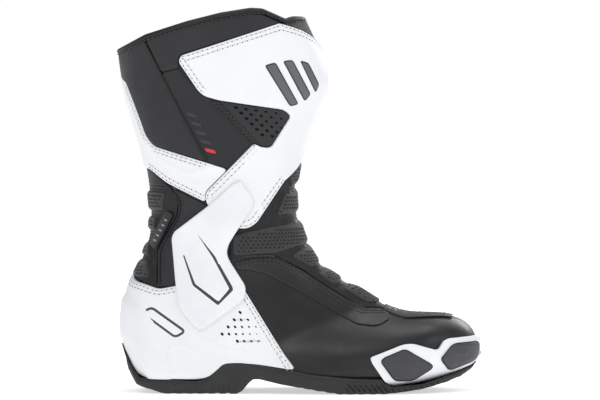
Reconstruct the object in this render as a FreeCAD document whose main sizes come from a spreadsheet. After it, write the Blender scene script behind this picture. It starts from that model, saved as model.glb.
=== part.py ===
"""Full-height road riding boot, right foot, as an assembly of separate pieces. FreeCAD macro, millimetres.

The boot is drawn with X forward from the back of the heel, Y towards the inner (medial) side and Z up from
the ground. Each helper moves its geometry by origin_x and origin_y, so that the finished row has its origin
under the middle of the boot, on the ground. Lateral means the outer side of the foot, which faces -Y.

The upper is a stack of thin layers around one free-form last. The last is a surface through the stations
below. A layer is the space between two offsets of that surface, and a panel is the part of a layer inside its
outline.
"""
import FreeCAD, Part
import math
import os
import re
import Sketcher
from FreeCAD import Placement, Rotation, Vector

DIMENSIONS = {
    "origin_x": 150.24,
    "origin_y": 1.68,
    "cutter_reach": 95.0,
    "seam_gap": 0.5,
    # Offsets of the layers from the last, positive outwards.
    "lining_in": -6.4,
    "lining_out": -5.4,
    "padding_in": -5.2,
    "padding_out": -2.4,
    "board_out": -4.1,
    "stiffener_in": -3.9,
    "footbed_under": -5.4,
    "shell_in": -2.2,
    "shell_out": 0.0,
    "panel_in": 0.2,
    "panel_out": 1.8,
    "counter_out": 2.4,
    "plate_out": 3.2,
    "overlay_in": 2.0,
    "overlay_out": 3.0,
    "graphic_in": 3.3,
    "graphic_out": 3.9,
    "strap_root_in": 3.4,
    "hook_in": 3.6,
    "hook_out": 4.4,
    "flap_in": 4.6,
    "flap_out": 6.2,
    "brace_in": 3.5,
    "brace_groove": 5.5,
    "brace_inlay_in": 5.6,
    "brace_inlay_out": 6.3,
    "brace_out": 6.7,
    "slider_in": 0.3,
    "slider_floor": 2.0,
    "slider_out": 4.2,
    "slider_pad_in": 2.2,
    "slider_pad_out": 5.4,
    "binding_in": -6.8,
    "binding_out": 2.6,
    "clear_of_all": 9.0,
    "sole_clearance": 0.25,
    # Outsole and the pieces inside it.
    "sole_height": 46.0,
    "tread_depth": 2.0,
    "tread_gap": 2.2,
    "tread_width": 120.0,
    "tread_pitch": 8.0,
    # Zip: a straight line on the medial side of the shaft. zip_tilt is its lean from vertical, in degrees.
    "zip_x": 87.0,
    "zip_y": 52.55,
    "zip_top_z": 255.0,
    "zip_tilt": 5.37,
    "tape_width": 15.0,
    "tape_in": 0.5,
    "tape_thickness": 0.6,
    "tape_above": 37.0,
    "tape_below": 148.0,
    "tooth_width": 5.6,
    "tooth_length": 1.5,
    "tooth_pitch": 2.5,
    "tooth_in": 1.2,
    "tooth_thickness": 1.6,
    "stop_width": 8.0,
    "stop_length": 3.0,
    "stop_thickness": 2.0,
    "slider_width": 10.6,
    "slider_length": 14.0,
    "slider_wall": 2.1,
    "slider_bottom": 1.3,
    "slider_height": 3.1,
    "slider_roof": 1.3,
    "ear_gap": 5.0,
    "ear_thickness": 1.3,
    "ear_length": 4.0,
    "ear_height": 4.6,
    "pivot_height": 6.7,
    "pivot_r": 0.9,
    "pivot_bore_r": 0.96,
    "eye_r": 2.0,
    "pull_thickness": 1.4,
    "neck_length": 6.0,
    "pull_length": 26.0,
    "pull_width": 7.0,
    "grip_width": 9.0,
    "grip_thickness": 3.0,
    "grip_length": 15.0,
    # Toe slider screws and the perforations of the vented panels.
    "screw_r": 2.0,
    "screw_length": 3.4,
    "screw_hole_r": 2.15,
    "screw_hole_length": 14.0,
    "vent_r": 0.85,
}

# One row per station of the last, from above the collar down the leg, round the heel and out to the toe:
# back x and z, front x and z, half width, centre y, share of the depth behind the widest point, roundness in
# front, roundness behind, and how far the station's skin faces forward (0 to 1).
STATION_FIELDS = ("bx", "bz", "fx", "fz", "half", "mid", "share", "front", "back", "nose")
STATIONS = [
    (1, 298, 143, 328, 56.6, 0, 0.50, 2.2, 2.2, 0),
    (3, 272, 163, 287, 55.0, 0, 0.50, 2.2, 2.2, 0),
    (8, 244, 171, 254, 52.0, 0, 0.50, 2.2, 2.2, 0),
    (16, 216, 159, 221, 49.1, 0, 0.50, 2.2, 2.2, 0),
    (23, 190, 150, 191, 46.4, 0, 0.50, 2.2, 2.2, 0),
    (27, 164, 146, 164, 43.9, 0, 0.50, 2.2, 2.2, 0),
    (28, 140, 149, 141, 41.7, 0, 0.48, 2.2, 2.2, 0),
    (25, 122, 155, 124, 40.1, 0, 0.46, 2.2, 2.3, 0),
    (18, 104, 163, 110, 39.0, 0, 0.44, 2.2, 2.4, 0),
    (10, 86, 172, 101, 38.8, 0, 0.42, 2.1, 2.5, 0),
    (6, 66, 181, 95, 39.6, 0, 0.40, 2.0, 2.6, 0),
    (6, 46, 190, 89, 40.6, 0, 0.38, 2.0, 2.8, 0),
    (10, 29, 198, 85, 41.6, 0, 0.36, 2.0, 3.4, 0),
    (22, 13, 206, 80, 42.0, 0, 0.34, 2.0, 5.0, 0),
    (55, 10, 214, 75, 42.0, 0, 0.32, 2.0, 8.0, 0),
    (100, 15, 224, 70, 43.4, -1, 0.32, 2.0, 8.0, 0),
    (145, 11.5, 234, 66.5, 47.6, -1, 0.34, 2.0, 8.0, 0),
    (188, 8, 246, 64.5, 50.8, 0, 0.38, 2.1, 7.0, 0),
    (222, 7, 259, 63.8, 50.4, 2, 0.42, 2.2, 5.0, 0.05),
    (249, 10, 272, 62.6, 46.5, 5, 0.45, 2.2, 3.6, 0.15),
    (269, 14, 283, 59.6, 39.5, 8, 0.47, 2.2, 2.8, 0.35),
    (283, 19, 291.2, 54, 30.0, 10, 0.48, 2.2, 2.6, 0.6),
    (292, 24, 296.2, 45.8, 19.0, 12, 0.50, 2.1, 2.4, 0.85),
    (296.5, 28.5, 297.8, 37, 8.0, 12, 0.50, 2.0, 2.0, 1),
]
SECTION_POINTS = 32

# Outlines in the side view, as (x, z). An open line crosses the whole boot, from behind the heel to past the
# toe.
RIM = [(-30, 273), (1.6, 283.5), (24, 295.5), (57, 306), (85, 313), (110, 317), (119, 316.5), (128, 312.5),
       (139, 307.5), (146, 310), (200, 308)]
SHAFT_EDGE = [(-30, 186), (25, 184.5), (40.8, 173), (72, 157.5), (85, 148), (100, 136), (115, 140),
              (139, 175), (156, 198), (200, 250)]
FOOT_EDGE = [(-30, 105), (12, 96), (20, 91), (34, 86.5), (50, 88), (65, 96), (92, 108.5), (112, 112.5),
             (130, 112.5), (152, 101), (178, 84), (201, 69.7), (226, 69), (330, 110)]
FLOOR = [(-30, 26), (30, 23.5), (50, 22), (100, 23), (145, 21), (188, 18), (222, 17), (249, 20), (269, 24),
         (330, 34)]
BELOW = -30.0
ABOVE = 400.0
BINDING_DEPTH = 4.0
BINDING_GAP = 0.3
MIDDLE_OVERLAP = 2.0

# The walls inside the foot start FLOOR_GAP above the floor line, and what lies under the foot stops under it.
FLOOR_GAP = 0.2
FLOOR_SINK = 0.1
SHANK_SINK = 1.0
ANKLE_GAP = 0.4
HEEL_ZONE = [(-30, 27), (30, 24.5), (70, 23), (70, 70), (40, 78), (-30, 85)]
TOE_ZONE = [(254, 21.5), (269, 24.8), (330, 34.8), (330, 90), (262, 90)]
SHIFT_PAD_PLAN = [(224, -18), (224, 26), (254, 30), (262, 22), (262, -8), (254, -20)]
SHIFT_PAD_FLOOR = 45.0

SHIN_LATERAL = [(52.8, 277.8), (134.6, 304.2), (172.5, 286.2), (195, 280), (195, 240), (156.5, 198.5),
                (138.8, 174.8), (115.4, 140.2), (108, 136), (100.4, 136), (76, 154), (73.6, 158.5),
                (73.6, 165.9), (113.8, 205.8), (118.2, 203.2), (127.6, 201.8), (144.6, 228.4), (138.4, 233.6),
                (84.2, 241.4), (72.3, 244.9), (67.3, 249.1), (51.4, 272.5)]
SHIN_MEDIAL = [(114, 298), (134.6, 304.2), (172.5, 286.2), (195, 280), (195, 240), (156.5, 198.5),
               (139, 175.5), (126, 205), (118, 250)]
VENT_INSERT = [(80, 241.2), (84.2, 240.8), (138.2, 232.9), (143.9, 228.3), (127.3, 202.5), (118.3, 203.9),
               (114.2, 206.2)]
UPPER_PANEL = [(24, 290.8), (57, 301.3), (85, 308.3), (110, 312.3), (119, 311.8), (128, 307.8),
               (134.4, 304.8), (51.9, 278.6), (50.5, 272.6), (51.6, 268), (37, 264.2)]
STRETCH_PANEL = [(37.4, 263.3), (51, 267), (66.6, 248.3), (71.8, 244.1), (79, 241.2), (113.2, 206),
                 (92.3, 185.6), (75.2, 191.2), (53.2, 232)]
CALF_PANEL = [(-30, 268), (1.6, 278.8), (22.8, 290.2), (36, 263.8), (52.2, 231.8), (74, 191), (30.2, 203.8),
              (23.6, 212), (18.2, 227.4), (6.9, 256.5), (4, 262), (-30, 262)]
CALF_BAND_LATERAL = [(-30, 261.4), (3.8, 261.4), (6.4, 256), (17.8, 227), (23.2, 211.6), (30, 203.2),
                     (74, 190.1), (91.6, 184.6), (73.2, 166.3), (73.2, 157.6), (40.8, 173.4), (25, 184.9),
                     (-30, 186.4)]
CALF_BAND_MEDIAL = [(-30, 261.4), (6.4, 256), (16, 225), (26, 205), (34, 190), (30, 182), (-30, 186.4)]
MEDIAL_REAR = [(-30, 268), (1.6, 278.8), (24, 290.8), (57, 301.3), (78.5, 306.7), (78.5, 153.6), (72, 158.2),
               (41, 173.6), (34.6, 179), (34.6, 190), (26.6, 205.5), (16.6, 225.5), (7, 256.5), (4, 262),
               (-30, 262)]
MEDIAL_FRONT = [(95.5, 310), (119, 311.5), (127, 307.7), (131.5, 304), (113.4, 298.4), (117.4, 250),
                (125.4, 204.8), (138.5, 174.8), (115, 141), (100, 137), (95.5, 140)]
FRONT_GUSSET = [(136, 304.4), (139, 303.2), (146, 305.7), (200, 303.5), (200, 281.5), (172.5, 286.9)]
HEEL_COUNTER = [(-30, 104), (12, 95), (20, 90), (34, 85.7), (50, 89), (65, 95.5), (85, 104.5), (98, 98),
                (107, 83), (146, 19.6), (118, 24.6), (100, 26.6), (88, 26.6), (80.7, 21.1), (74.8, 16.1),
                (66.8, 14.1), (20.4, 14.1), (16, 18), (12.5, 31), (11, 42), (-30, 42.5)]
INSTEP_SURROUND = [(95.5, 107.6), (112, 111.5), (130, 111.5), (152, 100), (178, 83), (201, 68.7), (221, 68),
                   (221, 56.5), (214.8, 55.7), (197.6, 57.4), (157.4, 80.4), (124, 98), (108, 102), (99, 101)]
MEDIAL_GRIP = [(113, 84), (148, 24), (188, 30), (198, 54), (178, 67), (150, 83), (124, 96.5), (113, 99)]
INSTEP_BELLOWS = [(93, 109.6), (112, 113.6), (130, 113.6), (152, 102), (178, 85), (201, 70.7), (226, 70),
                  (300, 100), (300, 200), (200, 249), (156, 197), (139, 174), (115, 139), (100, 135),
                  (93, 120)]
REAR_BELLOWS = [(-30, 185), (25, 183.5), (40.8, 172), (45, 168.6), (51, 157), (49, 145.5), (33, 118.5),
                (33, 87.6), (20, 92), (12, 97), (-30, 106)]
QUARTER = [(45.6, 168.8), (72, 156.3), (85, 146.8), (99.5, 135), (92.4, 120), (92.4, 109.8), (65, 97.2),
           (50, 89.2), (33.6, 87.6), (33.6, 118.4), (49.6, 145.4), (51.6, 157)]
# The stretch mesh windows of the two bellows, top to bottom.
INSTEP_WINDOWS = [
    [(142.6, 176), (161, 194), (180, 190), (180, 172), (143, 170)],
    [(131, 146), (138, 165), (180, 164), (180, 150), (150, 148)],
    [(96, 113), (96, 130), (151, 139), (180, 139), (180, 124), (149, 121), (130, 115)],
    [(143, 112.6), (157.5, 123), (190, 124), (190, 112), (158.7, 102.3)],
    [(164.4, 97.7), (172.4, 108), (195, 110), (195, 95), (178.8, 88)],
    [(186.8, 85), (189.7, 93), (215, 95), (224, 78), (217, 76.5), (205.8, 74.6), (199, 77)],
]
REAR_WINDOWS = [
    [(-20, 150), (-20, 165), (38, 165), (42, 158), (38, 149)],
    [(-20, 134), (-20, 144), (32, 144), (38, 139), (33, 133)],
    [(-20, 113), (-20, 124), (24, 124), (27, 118), (24, 113)],
    [(-20, 98), (-20, 108), (24, 108), (27, 103), (26, 97)],
]
SIDE_TAG = [(40, 150.3), (45.6, 147), (29.8, 118), (25, 125)]
BRACE = [(102.7, 175.3), (113.6, 160.3), (113, 153), (99.7, 134.4), (92.5, 123), (90.9, 115.8), (93.2, 109.7),
         (106.4, 89.3), (106.9, 82.7), (104.6, 77.2), (72.1, 53.8), (67.2, 53.2), (62.4, 56.8), (52.8, 67.7),
         (50.4, 73.6), (48, 91.7), (44.6, 127.8), (46.8, 133.3), (74.5, 154.2), (95, 172.3), (99.7, 174.7)]
BRACE_GROOVE = [(54.8, 114.2), (62.9, 89.4), (83.6, 73), (96, 85.4), (95.6, 88), (81, 113.5), (66.4, 131.8),
                (79, 112.8), (92.6, 87.2), (92.4, 86), (84.2, 76.2), (64.8, 90.6), (56, 114)]
TOE_SLIDER = [(227.3, 6.1), (223.9, 6.7), (219.8, 10.2), (209.7, 25.8), (208.3, 30.5), (235.5, 41.4),
              (242.3, 42), (246.3, 41.4), (262.6, 36.3), (265.4, 37.3), (269.5, 44.1), (273.6, 45.8),
              (298.7, 47.2), (304, 44.8), (304, 36.7), (300.5, 25.8), (296, 22), (276.3, 15.6), (262.6, 11.5),
              (251.7, 8.1)]
SLIDER_REAR_WINDOW = [(217.3, 28.4), (219.8, 30.8), (235.5, 37.3), (238.9, 37), (258.6, 25.1), (260.6, 22.4),
                      (258.6, 19.7), (246.3, 11.9), (242.3, 10.5), (230, 10.5), (226.6, 12.9), (217.5, 25.8)]
SLIDER_FRONT_WINDOW = [(266.7, 29.2), (275.5, 40), (279.6, 41.7), (298.7, 42.2), (301.2, 40), (300.8, 31.2),
                       (298.1, 26.5), (294.6, 24.4), (276.3, 18.6), (272.9, 18.9), (267.4, 26.5)]
WINDOW_LEDGE = 0.35
LOOSE_FIT = 0.3
INLAY_GAP = 0.12
SHIN_BARS = [[(122, 270), (131, 272.5), (150, 238), (143, 236)], [(137, 273.5), (145, 274.5), (160, 246),
             (155, 240)], [(151, 274), (158, 272), (167, 254), (164, 247)]]
FLAP = [(63, 264), (60.5, 267), (60.5, 296), (63.5, 299), (119.5, 303.5), (119.5, 264)]
FLAP_BASE = [(120.2, 264), (120.2, 303.4), (127, 303.4), (127, 264)]
LOOP_PATCH = [(63, 268), (63, 294), (76.5, 297), (76.5, 268)]
HOOK_PATCH = [(64.5, 270), (64.5, 292), (75.5, 294.5), (75.5, 270)]

# The outsole: its outline on the ground, as (x, y), and its side view, as (x, z).
SOLE_PLAN = [(3.3, 0), (6, -18), (14, -31), (28, -39), (50, -42.5), (75, -43), (100, -44.5), (125, -48),
             (150, -51.5), (175, -53.5), (195, -53.5), (215, -51.5), (235, -47.5), (252, -41.5), (268, -32.5),
             (281, -22), (291, -10), (298, 0), (301.3, 12), (299, 22), (292, 33), (281, 41.5), (268, 47.5),
             (252, 51.5), (235, 53), (215, 53), (195, 52), (175, 50), (150, 47), (125, 44), (100, 42.5),
             (75, 42), (50, 42), (28, 38.5), (14, 31), (6, 18)]
SOLE_SIDE = [(2, 41.5), (3.4, 36), (5, 31), (9.5, 18), (16, 7.2), (21, 5), (29, 3), (34, 1.4), (38, 0),
             (96, 0), (101, 3), (107, 9.5), (111, 12), (116, 12.2), (134, 8.2), (164, 3), (184, 0), (220, 0),
             (236, 1.5), (252, 3.7), (272, 8.6), (284, 12.8), (293, 18.5), (299, 25.5), (303, 33), (293, 28),
             (276, 22), (250, 16), (222, 13), (194, 13), (158, 16.5), (146, 19), (118, 24), (100, 26),
             (88, 26), (81, 20.5), (75, 15.5), (67, 13.5), (20, 13.5), (15.5, 17.5), (12, 30.8), (10.4, 41.5)]
SHANK_PLAN = [(52, -10), (148, -13), (148, 13), (52, 10)]
SOLE_CORE_INSET = 6.0
PRISM_START = 2.0
TREAD_START = 6
HEEL_GROOVES = (44.0, 6)
FORE_GROOVES = (150.0, 15)

# Toe slider screws: a point on the axis inside the toe, and the axis's turn forward from sideways, in
# degrees.
SCREWS = [((236, -20, 24), 12), ((266, -5, 32), 52)]
SCREW_SINK = 0.4
SCREW_HOLE_OPEN = 6.0

COUNTER_VENT_ROWS = [(101.9, 67, 1), (97, 61, 3), (92, 55.2, 5), (87, 49.3, 6), (99.6, 43.5, 4)]
COUNTER_VENT_PITCH = 5.7
INSERT_VENT_ROWS = [(98.5, 235.4, 5), (102.8, 230.9, 5), (107.1, 226.4, 4), (111.4, 222, 4),
                    (115.7, 217.5, 3), (120, 213, 2)]
INSERT_VENT_PITCH = 8.2
INSERT_VENT_FALL = 1.2
VENT_SIDES = 8
VENT_START = 1.0

doc = FreeCAD.newDocument("riding_boot")
sheet = doc.addObject("Spreadsheet::Sheet", "dimensions")
NODES = []


def fill_sheet():
    """Writes every driving dimension and every station of the last into an aliased cell."""
    cells = dict(DIMENSIONS)
    for number, row in enumerate(STATIONS):
        for field, value in zip(STATION_FIELDS, row):
            cells[f"station{number:02d}_{field}"] = value
    for line, (alias, value) in enumerate(cells.items(), start=1):
        sheet.set(f"A{line}", alias)
        sheet.set(f"B{line}", str(value))
        sheet.setAlias(f"B{line}", alias)
    doc.recompute()


def size(alias):
    return float(sheet.get(alias))


def row_point(x, y, z):
    """A point given from the back of the heel, in the finished row's frame."""
    return Vector(x - size("origin_x"), y - size("origin_y"), z)


def bind(feature, **properties):
    """Ties properties of a feature to sums of cells: bind(pad, Length="pull_length - neck_length")."""
    for name, expression in properties.items():
        full = re.sub(r"[a-z]\w*", lambda word: "dimensions." + word.group(), expression)
        feature.setExpression(name, full)


def keep(feature, label):
    """Makes a finished feature a node of the assembly."""
    feature.Label = label
    NODES.append(feature)
    return feature


# ---- The last and its layers ----

def station_section(station, offset):
    """Points round one station, moved out by offset. None where an inward offset leaves nothing."""
    bx, bz, fx, fz, half, mid, share, front, back, nose = station
    depth = math.hypot(fx - bx, fz - bz)
    along = Vector((fx - bx) / depth, 0, (fz - bz) / depth)
    ahead = Vector(along.z, 0, -along.x)
    sideways = offset * math.sqrt(1 - nose * nose)
    if half + sideways < 4 or depth + 2 * sideways < 5:
        return None
    origin = row_point(bx, mid, bz) + ahead * (nose * offset)
    points = []
    for k in range(SECTION_POINTS):
        angle = math.pi + 2 * math.pi * k / SECTION_POINTS
        c, s = math.cos(angle), math.sin(angle)
        power = front if c > 0 else back
        spread = (abs(c) ** power + abs(s) ** power) ** (-1 / power)
        reach = (depth * (1 - share) if c > 0 else depth * share) + sideways
        points.append(origin + along * (depth * share + reach * c * spread)
                      + Vector(0, (half + sideways) * s * spread, 0))
    return points


def read_stations():
    """The stations from the sheet, with the distance of each along the last."""
    rows = [[size(f"station{n:02d}_{field}") for field in STATION_FIELDS] for n in range(len(STATIONS))]
    places = [0.0]
    for a, b in zip(rows, rows[1:]):
        step = (math.hypot(b[0] - a[0], b[1] - a[1]) + math.hypot(b[2] - a[2], b[3] - a[3])) / 2
        places.append(places[-1] + step)
    return rows, places


def last_surface(offset):
    """The last's skin moved out by offset: one spline surface, closed round each station."""
    rows, places = read_stations()
    poles, used = [], []
    for row, place in zip(rows, places):
        points = station_section(row, offset)
        if points is None:
            break
        ring = Part.BSplineCurve()
        parameters = [k / SECTION_POINTS for k in range(SECTION_POINTS + 1)]
        ring.interpolate(Points=points, Parameters=parameters, PeriodicFlag=True)
        poles.append(ring.getPoles())
        used.append(place)
    columns = []
    for i in range(len(poles[0])):
        line = Part.BSplineCurve()
        line.interpolate(Points=[p[i] for p in poles], Parameters=used)
        columns.append(line.getPoles())
    surface = Part.BSplineSurface()
    surface.buildFromPolesMultsKnots(
        columns, ring.getMultiplicities(), line.getMultiplicities(), ring.getKnots(), line.getKnots(),
        True, False, 3, 3)
    return surface


def solid_inside(offset):
    """The last's skin moved out by offset, as a solid, with its side, toe end and top faces."""
    surface = last_surface(offset)
    _, _, first, final = surface.bounds()
    ends = [Part.Face(Part.Wire([surface.vIso(v).toShape()])) for v in (first, final)]
    shell = Part.Shell([surface.toShape()] + ends)
    shell.sewShape()
    solid = Part.Solid(shell)
    if solid.Volume < 0:
        solid.reverse()
    side = max(solid.Faces, key=lambda face: face.Area)
    toe, top = sorted((f for f in solid.Faces if not f.isSame(side)), key=lambda face: face.CenterOfMass.z)
    return solid, side, toe, top


def layer(name, inner, outer):
    """A Part::Feature that holds the hollow layer between two offsets, open at the top."""
    _, side_in, toe_in, top_in = solid_inside(size(inner))
    _, side_out, toe_out, top_out = solid_inside(size(outer))
    ring = top_out.cut(top_in).Faces[0]
    shell = Part.Shell([side_out, toe_out, ring, side_in.reversed(), toe_in.reversed()])
    shell.sewShape()
    feature = doc.addObject("Part::Feature", name)
    feature.Shape = Part.Solid(shell)
    return feature


def solid_feature(name, offset):
    feature = doc.addObject("Part::Feature", name)
    feature.Shape = solid_inside(size(offset))[0]
    return feature


# ---- Outlines, cutters and booleans ----

def outline_sketch(name, points, plane="side", level=0.0):
    """A closed sketch through the points: side view (x, z) at y = level, or plan (x, y) at z = level."""
    sketch = doc.addObject("Sketcher::SketchObject", name + "_outline")
    if plane == "side":
        sketch.Placement = Placement(row_point(0, level + size("origin_y"), 0), Rotation(Vector(1, 0, 0), 90))
    else:
        sketch.Placement = Placement(row_point(0, 0, level), Rotation())
    corners = [Vector(a, b, 0) for a, b in points]
    count = len(corners)
    for i in range(count):
        sketch.addGeometry(Part.LineSegment(corners[i], corners[(i + 1) % count]), False)
    sketch.addConstraint([Sketcher.Constraint("Coincident", i, 2, (i + 1) % count, 1) for i in range(count)])
    return sketch


def cutter(name, points, side="both", gap=0.0):
    """A prism across the boot through a side-view outline, on one side or both.

    gap moves the face at the middle away from it by half the gap. A negative gap makes it cross the middle.
    """
    level = {"lateral": -gap / 2, "medial": gap / 2, "both": 0.0}[side]
    prism = doc.addObject("Part::Extrusion", name + "_cutter")
    prism.Base = outline_sketch(name, points, "side", level)
    prism.DirMode = "Custom"
    prism.Dir = Vector(0, 1, 0) if side == "medial" else Vector(0, -1, 0)
    prism.Solid = True
    bind(prism, LengthFwd="cutter_reach")
    if side == "both":
        bind(prism, LengthRev="cutter_reach")
    return prism


def plan_prism(name, points, bottom, height):
    """A vertical prism through a plan outline. height is a cell's alias."""
    prism = doc.addObject("Part::Extrusion", name + "_prism")
    prism.Base = outline_sketch(name, points, "plan", bottom)
    prism.DirMode = "Custom"
    prism.Dir = Vector(0, 0, 1)
    prism.Solid = True
    bind(prism, LengthFwd=height)
    return prism


def common(name, base, tool):
    feature = doc.addObject("Part::Common", name)
    feature.Base = base
    feature.Tool = tool
    return feature


def cut(name, base, tool):
    feature = doc.addObject("Part::Cut", name)
    feature.Base = base
    feature.Tool = tool
    return feature


def fuse(name, shapes):
    feature = doc.addObject("Part::MultiFuse", name)
    feature.Shapes = shapes
    return feature


def above(line, lift=0.0):
    """The closed outline of everything above an open line, raised by lift."""
    return [(x, z + lift) for x, z in line] + [(line[-1][0], ABOVE), (line[0][0], ABOVE)]


def below(line, lift=0.0):
    return [(x, z + lift) for x, z in line] + [(line[-1][0], BELOW), (line[0][0], BELOW)]


def between(lower, upper, low_lift=0.0, high_lift=0.0):
    return [(x, z + low_lift) for x, z in lower] + [(x, z + high_lift) for x, z in reversed(upper)]


def panel(label, base, outline, side="both", gap=0.0, holes=None):
    """A node: the part of a layer inside a side-view outline, less any holes."""
    tool = cutter(label, outline, side, gap)
    if holes:
        tool = cut(label + "_punched", tool, holes)
    return keep(common(label, base, tool), label)


def shrunk(points, distance):
    """An outline moved inwards by a distance."""
    wire = Part.makePolygon([Vector(a, b, 0) for a, b in points + points[:1]])
    moved = wire.makeOffset2D(-distance, 2)
    corners = [vertex.Point for vertex in moved.OrderedVertexes]
    return [(p.x, p.y) for p in corners]


# ---- Sub-parts ----

def make_layers():
    """The shared layers, by name."""
    spans = {
        "lining": ("lining_in", "lining_out"),
        "padding": ("padding_in", "padding_out"),
        "board": ("padding_in", "board_out"),
        "stiffener": ("stiffener_in", "padding_out"),
        "shell": ("shell_in", "shell_out"),
        "panels": ("panel_in", "panel_out"),
        "counter": ("panel_in", "counter_out"),
        "plate": ("panel_in", "plate_out"),
        "overlay": ("overlay_in", "overlay_out"),
        "hook": ("hook_in", "hook_out"),
        "flap": ("flap_in", "flap_out"),
        "strap_root": ("strap_root_in", "flap_out"),
        "graphic": ("graphic_in", "graphic_out"),
        "brace": ("brace_in", "brace_out"),
        "brace_top": ("brace_groove", "clear_of_all"),
        "inlay": ("brace_inlay_in", "brace_inlay_out"),
        "slider": ("slider_in", "slider_out"),
        "slider_top": ("slider_floor", "clear_of_all"),
        "slider_pads": ("slider_pad_in", "slider_pad_out"),
        "binding": ("binding_in", "binding_out"),
    }
    return {name: layer("layer_" + name, *ends) for name, ends in spans.items()}


def make_outsole():
    """Rubber outsole: a block of the sole's plan and side view, cupped round the last, with tread grooves."""
    blank = plan_prism("sole_plan", SOLE_PLAN, -PRISM_START, "sole_height")
    block = common("sole_block", blank, cutter("sole_side", SOLE_SIDE))
    cupped = cut("sole_cup", block, solid_feature("last_for_sole", "sole_clearance"))
    lane = cut("slider_lane", cutter("slider_space", shrunk(TOE_SLIDER, -LOOSE_FIT), "lateral"),
               sole_core("lane_core", -LOOSE_FIT / 2))
    keep(cut("outsole_treaded", cut("sole_trimmed", cupped, lane), fuse("tread", tread_grooves())), "outsole")


def sole_core(name, extra):
    """The middle of the sole, inside which the toe slider doesn't reach, made wider by extra."""
    points = shrunk(SOLE_PLAN, SOLE_CORE_INSET - extra)
    return plan_prism(name, points, -PRISM_START, "sole_height")


def tread_grooves():
    """Straight grooves across the heel and the forefoot."""
    grooves = []
    for start, count in (HEEL_GROOVES, FORE_GROOVES):
        for k in range(count):
            groove = doc.addObject("Part::Box", "tread_groove")
            x = start + k * size("tread_pitch")
            groove.Placement = Placement(row_point(x, -size("tread_width") / 2, sole_bottom(x) - TREAD_START),
                                         Rotation())
            bind(groove, Length="tread_gap", Width="tread_width", Height=f"tread_depth + {TREAD_START}")
            grooves.append(groove)
    return grooves


def sole_bottom(x):
    """Height of the tread's face at x, from the lower line of the sole's side view."""
    line = SOLE_SIDE[8:24]
    for (x0, z0), (x1, z1) in zip(line, line[1:]):
        if x0 <= x <= x1:
            return z0 + (z1 - z0) * (x - x0) / (x1 - x0)
    return line[-1][1]


def make_sole_inside(layers):
    """Shank, insole board and footbed."""
    strip = common("shank_strip", cutter("shank_level", below(FLOOR, -SHANK_SINK)),
                   plan_prism("shank", SHANK_PLAN, 0.0, "sole_height"))
    keep(common("shank_solid", layers["stiffener"], strip), "shank")
    panel("insole_board", layers["board"], below(FLOOR, -FLOOR_SINK))
    keep(common("footbed_solid", solid_feature("last_for_footbed", "footbed_under"),
                cutter("footbed", below(FLOOR, -FLOOR_SINK))), "footbed")


def make_foot(layers):
    """The foot's walls, from the lining out."""
    panel("foot_lining", layers["lining"], between(FLOOR, FOOT_EDGE, FLOOR_GAP))
    walls = cutter("foot_padding", between(FLOOR, FOOT_EDGE, FLOOR_GAP))
    spared = fuse("stiffener_space", [cutter("heel_space", shrunk(HEEL_ZONE, -LOOSE_FIT)),
                                      cutter("toe_space", shrunk(TOE_ZONE, -LOOSE_FIT))])
    keep(cut("foot_padding_trimmed", common("foot_padding_walls", layers["padding"], walls), spared),
         "foot_padding")
    panel("heel_stiffener", layers["stiffener"], HEEL_ZONE)
    panel("toe_puff", layers["stiffener"], TOE_ZONE)
    shell = common("foot_shell_blank", layers["shell"], cutter("foot_shell", below(FOOT_EDGE)))
    keep(cut("foot_shell_drilled", shell, screw_holes("shell_holes")), "foot_shell")
    panel("instep_surround", layers["panels"], INSTEP_SURROUND)
    panel("medial_grip_pad", layers["panels"], MEDIAL_GRIP, "medial")
    panel("heel_counter", layers["counter"], HEEL_COUNTER,
          holes=vent_holes("counter_vents", COUNTER_VENT_ROWS, COUNTER_VENT_PITCH, 0))
    top = plan_prism("shift_pad", SHIFT_PAD_PLAN, SHIFT_PAD_FLOOR, "sole_height")
    keep(common("shift_pad_cap", layers["panels"], top), "shift_pad")


def vent_holes(name, rows, pitch, fall):
    """Perforations through a lateral panel, as rows of (first x, first z, count)."""
    holes = []
    for x, z, count in rows:
        for k in range(count):
            hole = doc.addObject("Part::Prism", "vent")
            hole.Polygon = VENT_SIDES
            hole.Placement = Placement(row_point(x + k * pitch, VENT_START, z - k * fall),
                                       Rotation(Vector(1, 0, 0), 90))
            bind(hole, Circumradius="vent_r", Height="cutter_reach")
            holes.append(hole)
    return fuse(name, holes)


def screw_rod(name, start, turn, radius, length, sink):
    """A rod along a toe slider screw's axis, ending sink below the pocket's floor.

    The axis starts inside the toe and points sideways, turned forward by turn degrees.
    """
    angle = math.radians(turn)
    out = Vector(math.sin(angle), -math.cos(angle), 0)
    axis = Part.makeLine(row_point(*start), row_point(*start) + out * size("cutter_reach"))
    mouth = axis.distToShape(last_surface(size("slider_floor")).toShape())[1][0][0]
    rod = doc.addObject("Part::Cylinder", name)
    rod.Placement = Placement(mouth - out * (size(length) + sink), Rotation(Vector(0, 0, 1), out))
    bind(rod, Radius=radius, Height=length)
    return rod


def screw_holes(name):
    return fuse(name, [screw_rod("screw_hole", *screw, "screw_hole_r", "screw_hole_length", -SCREW_HOLE_OPEN)
                       for screw in SCREWS])


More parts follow.
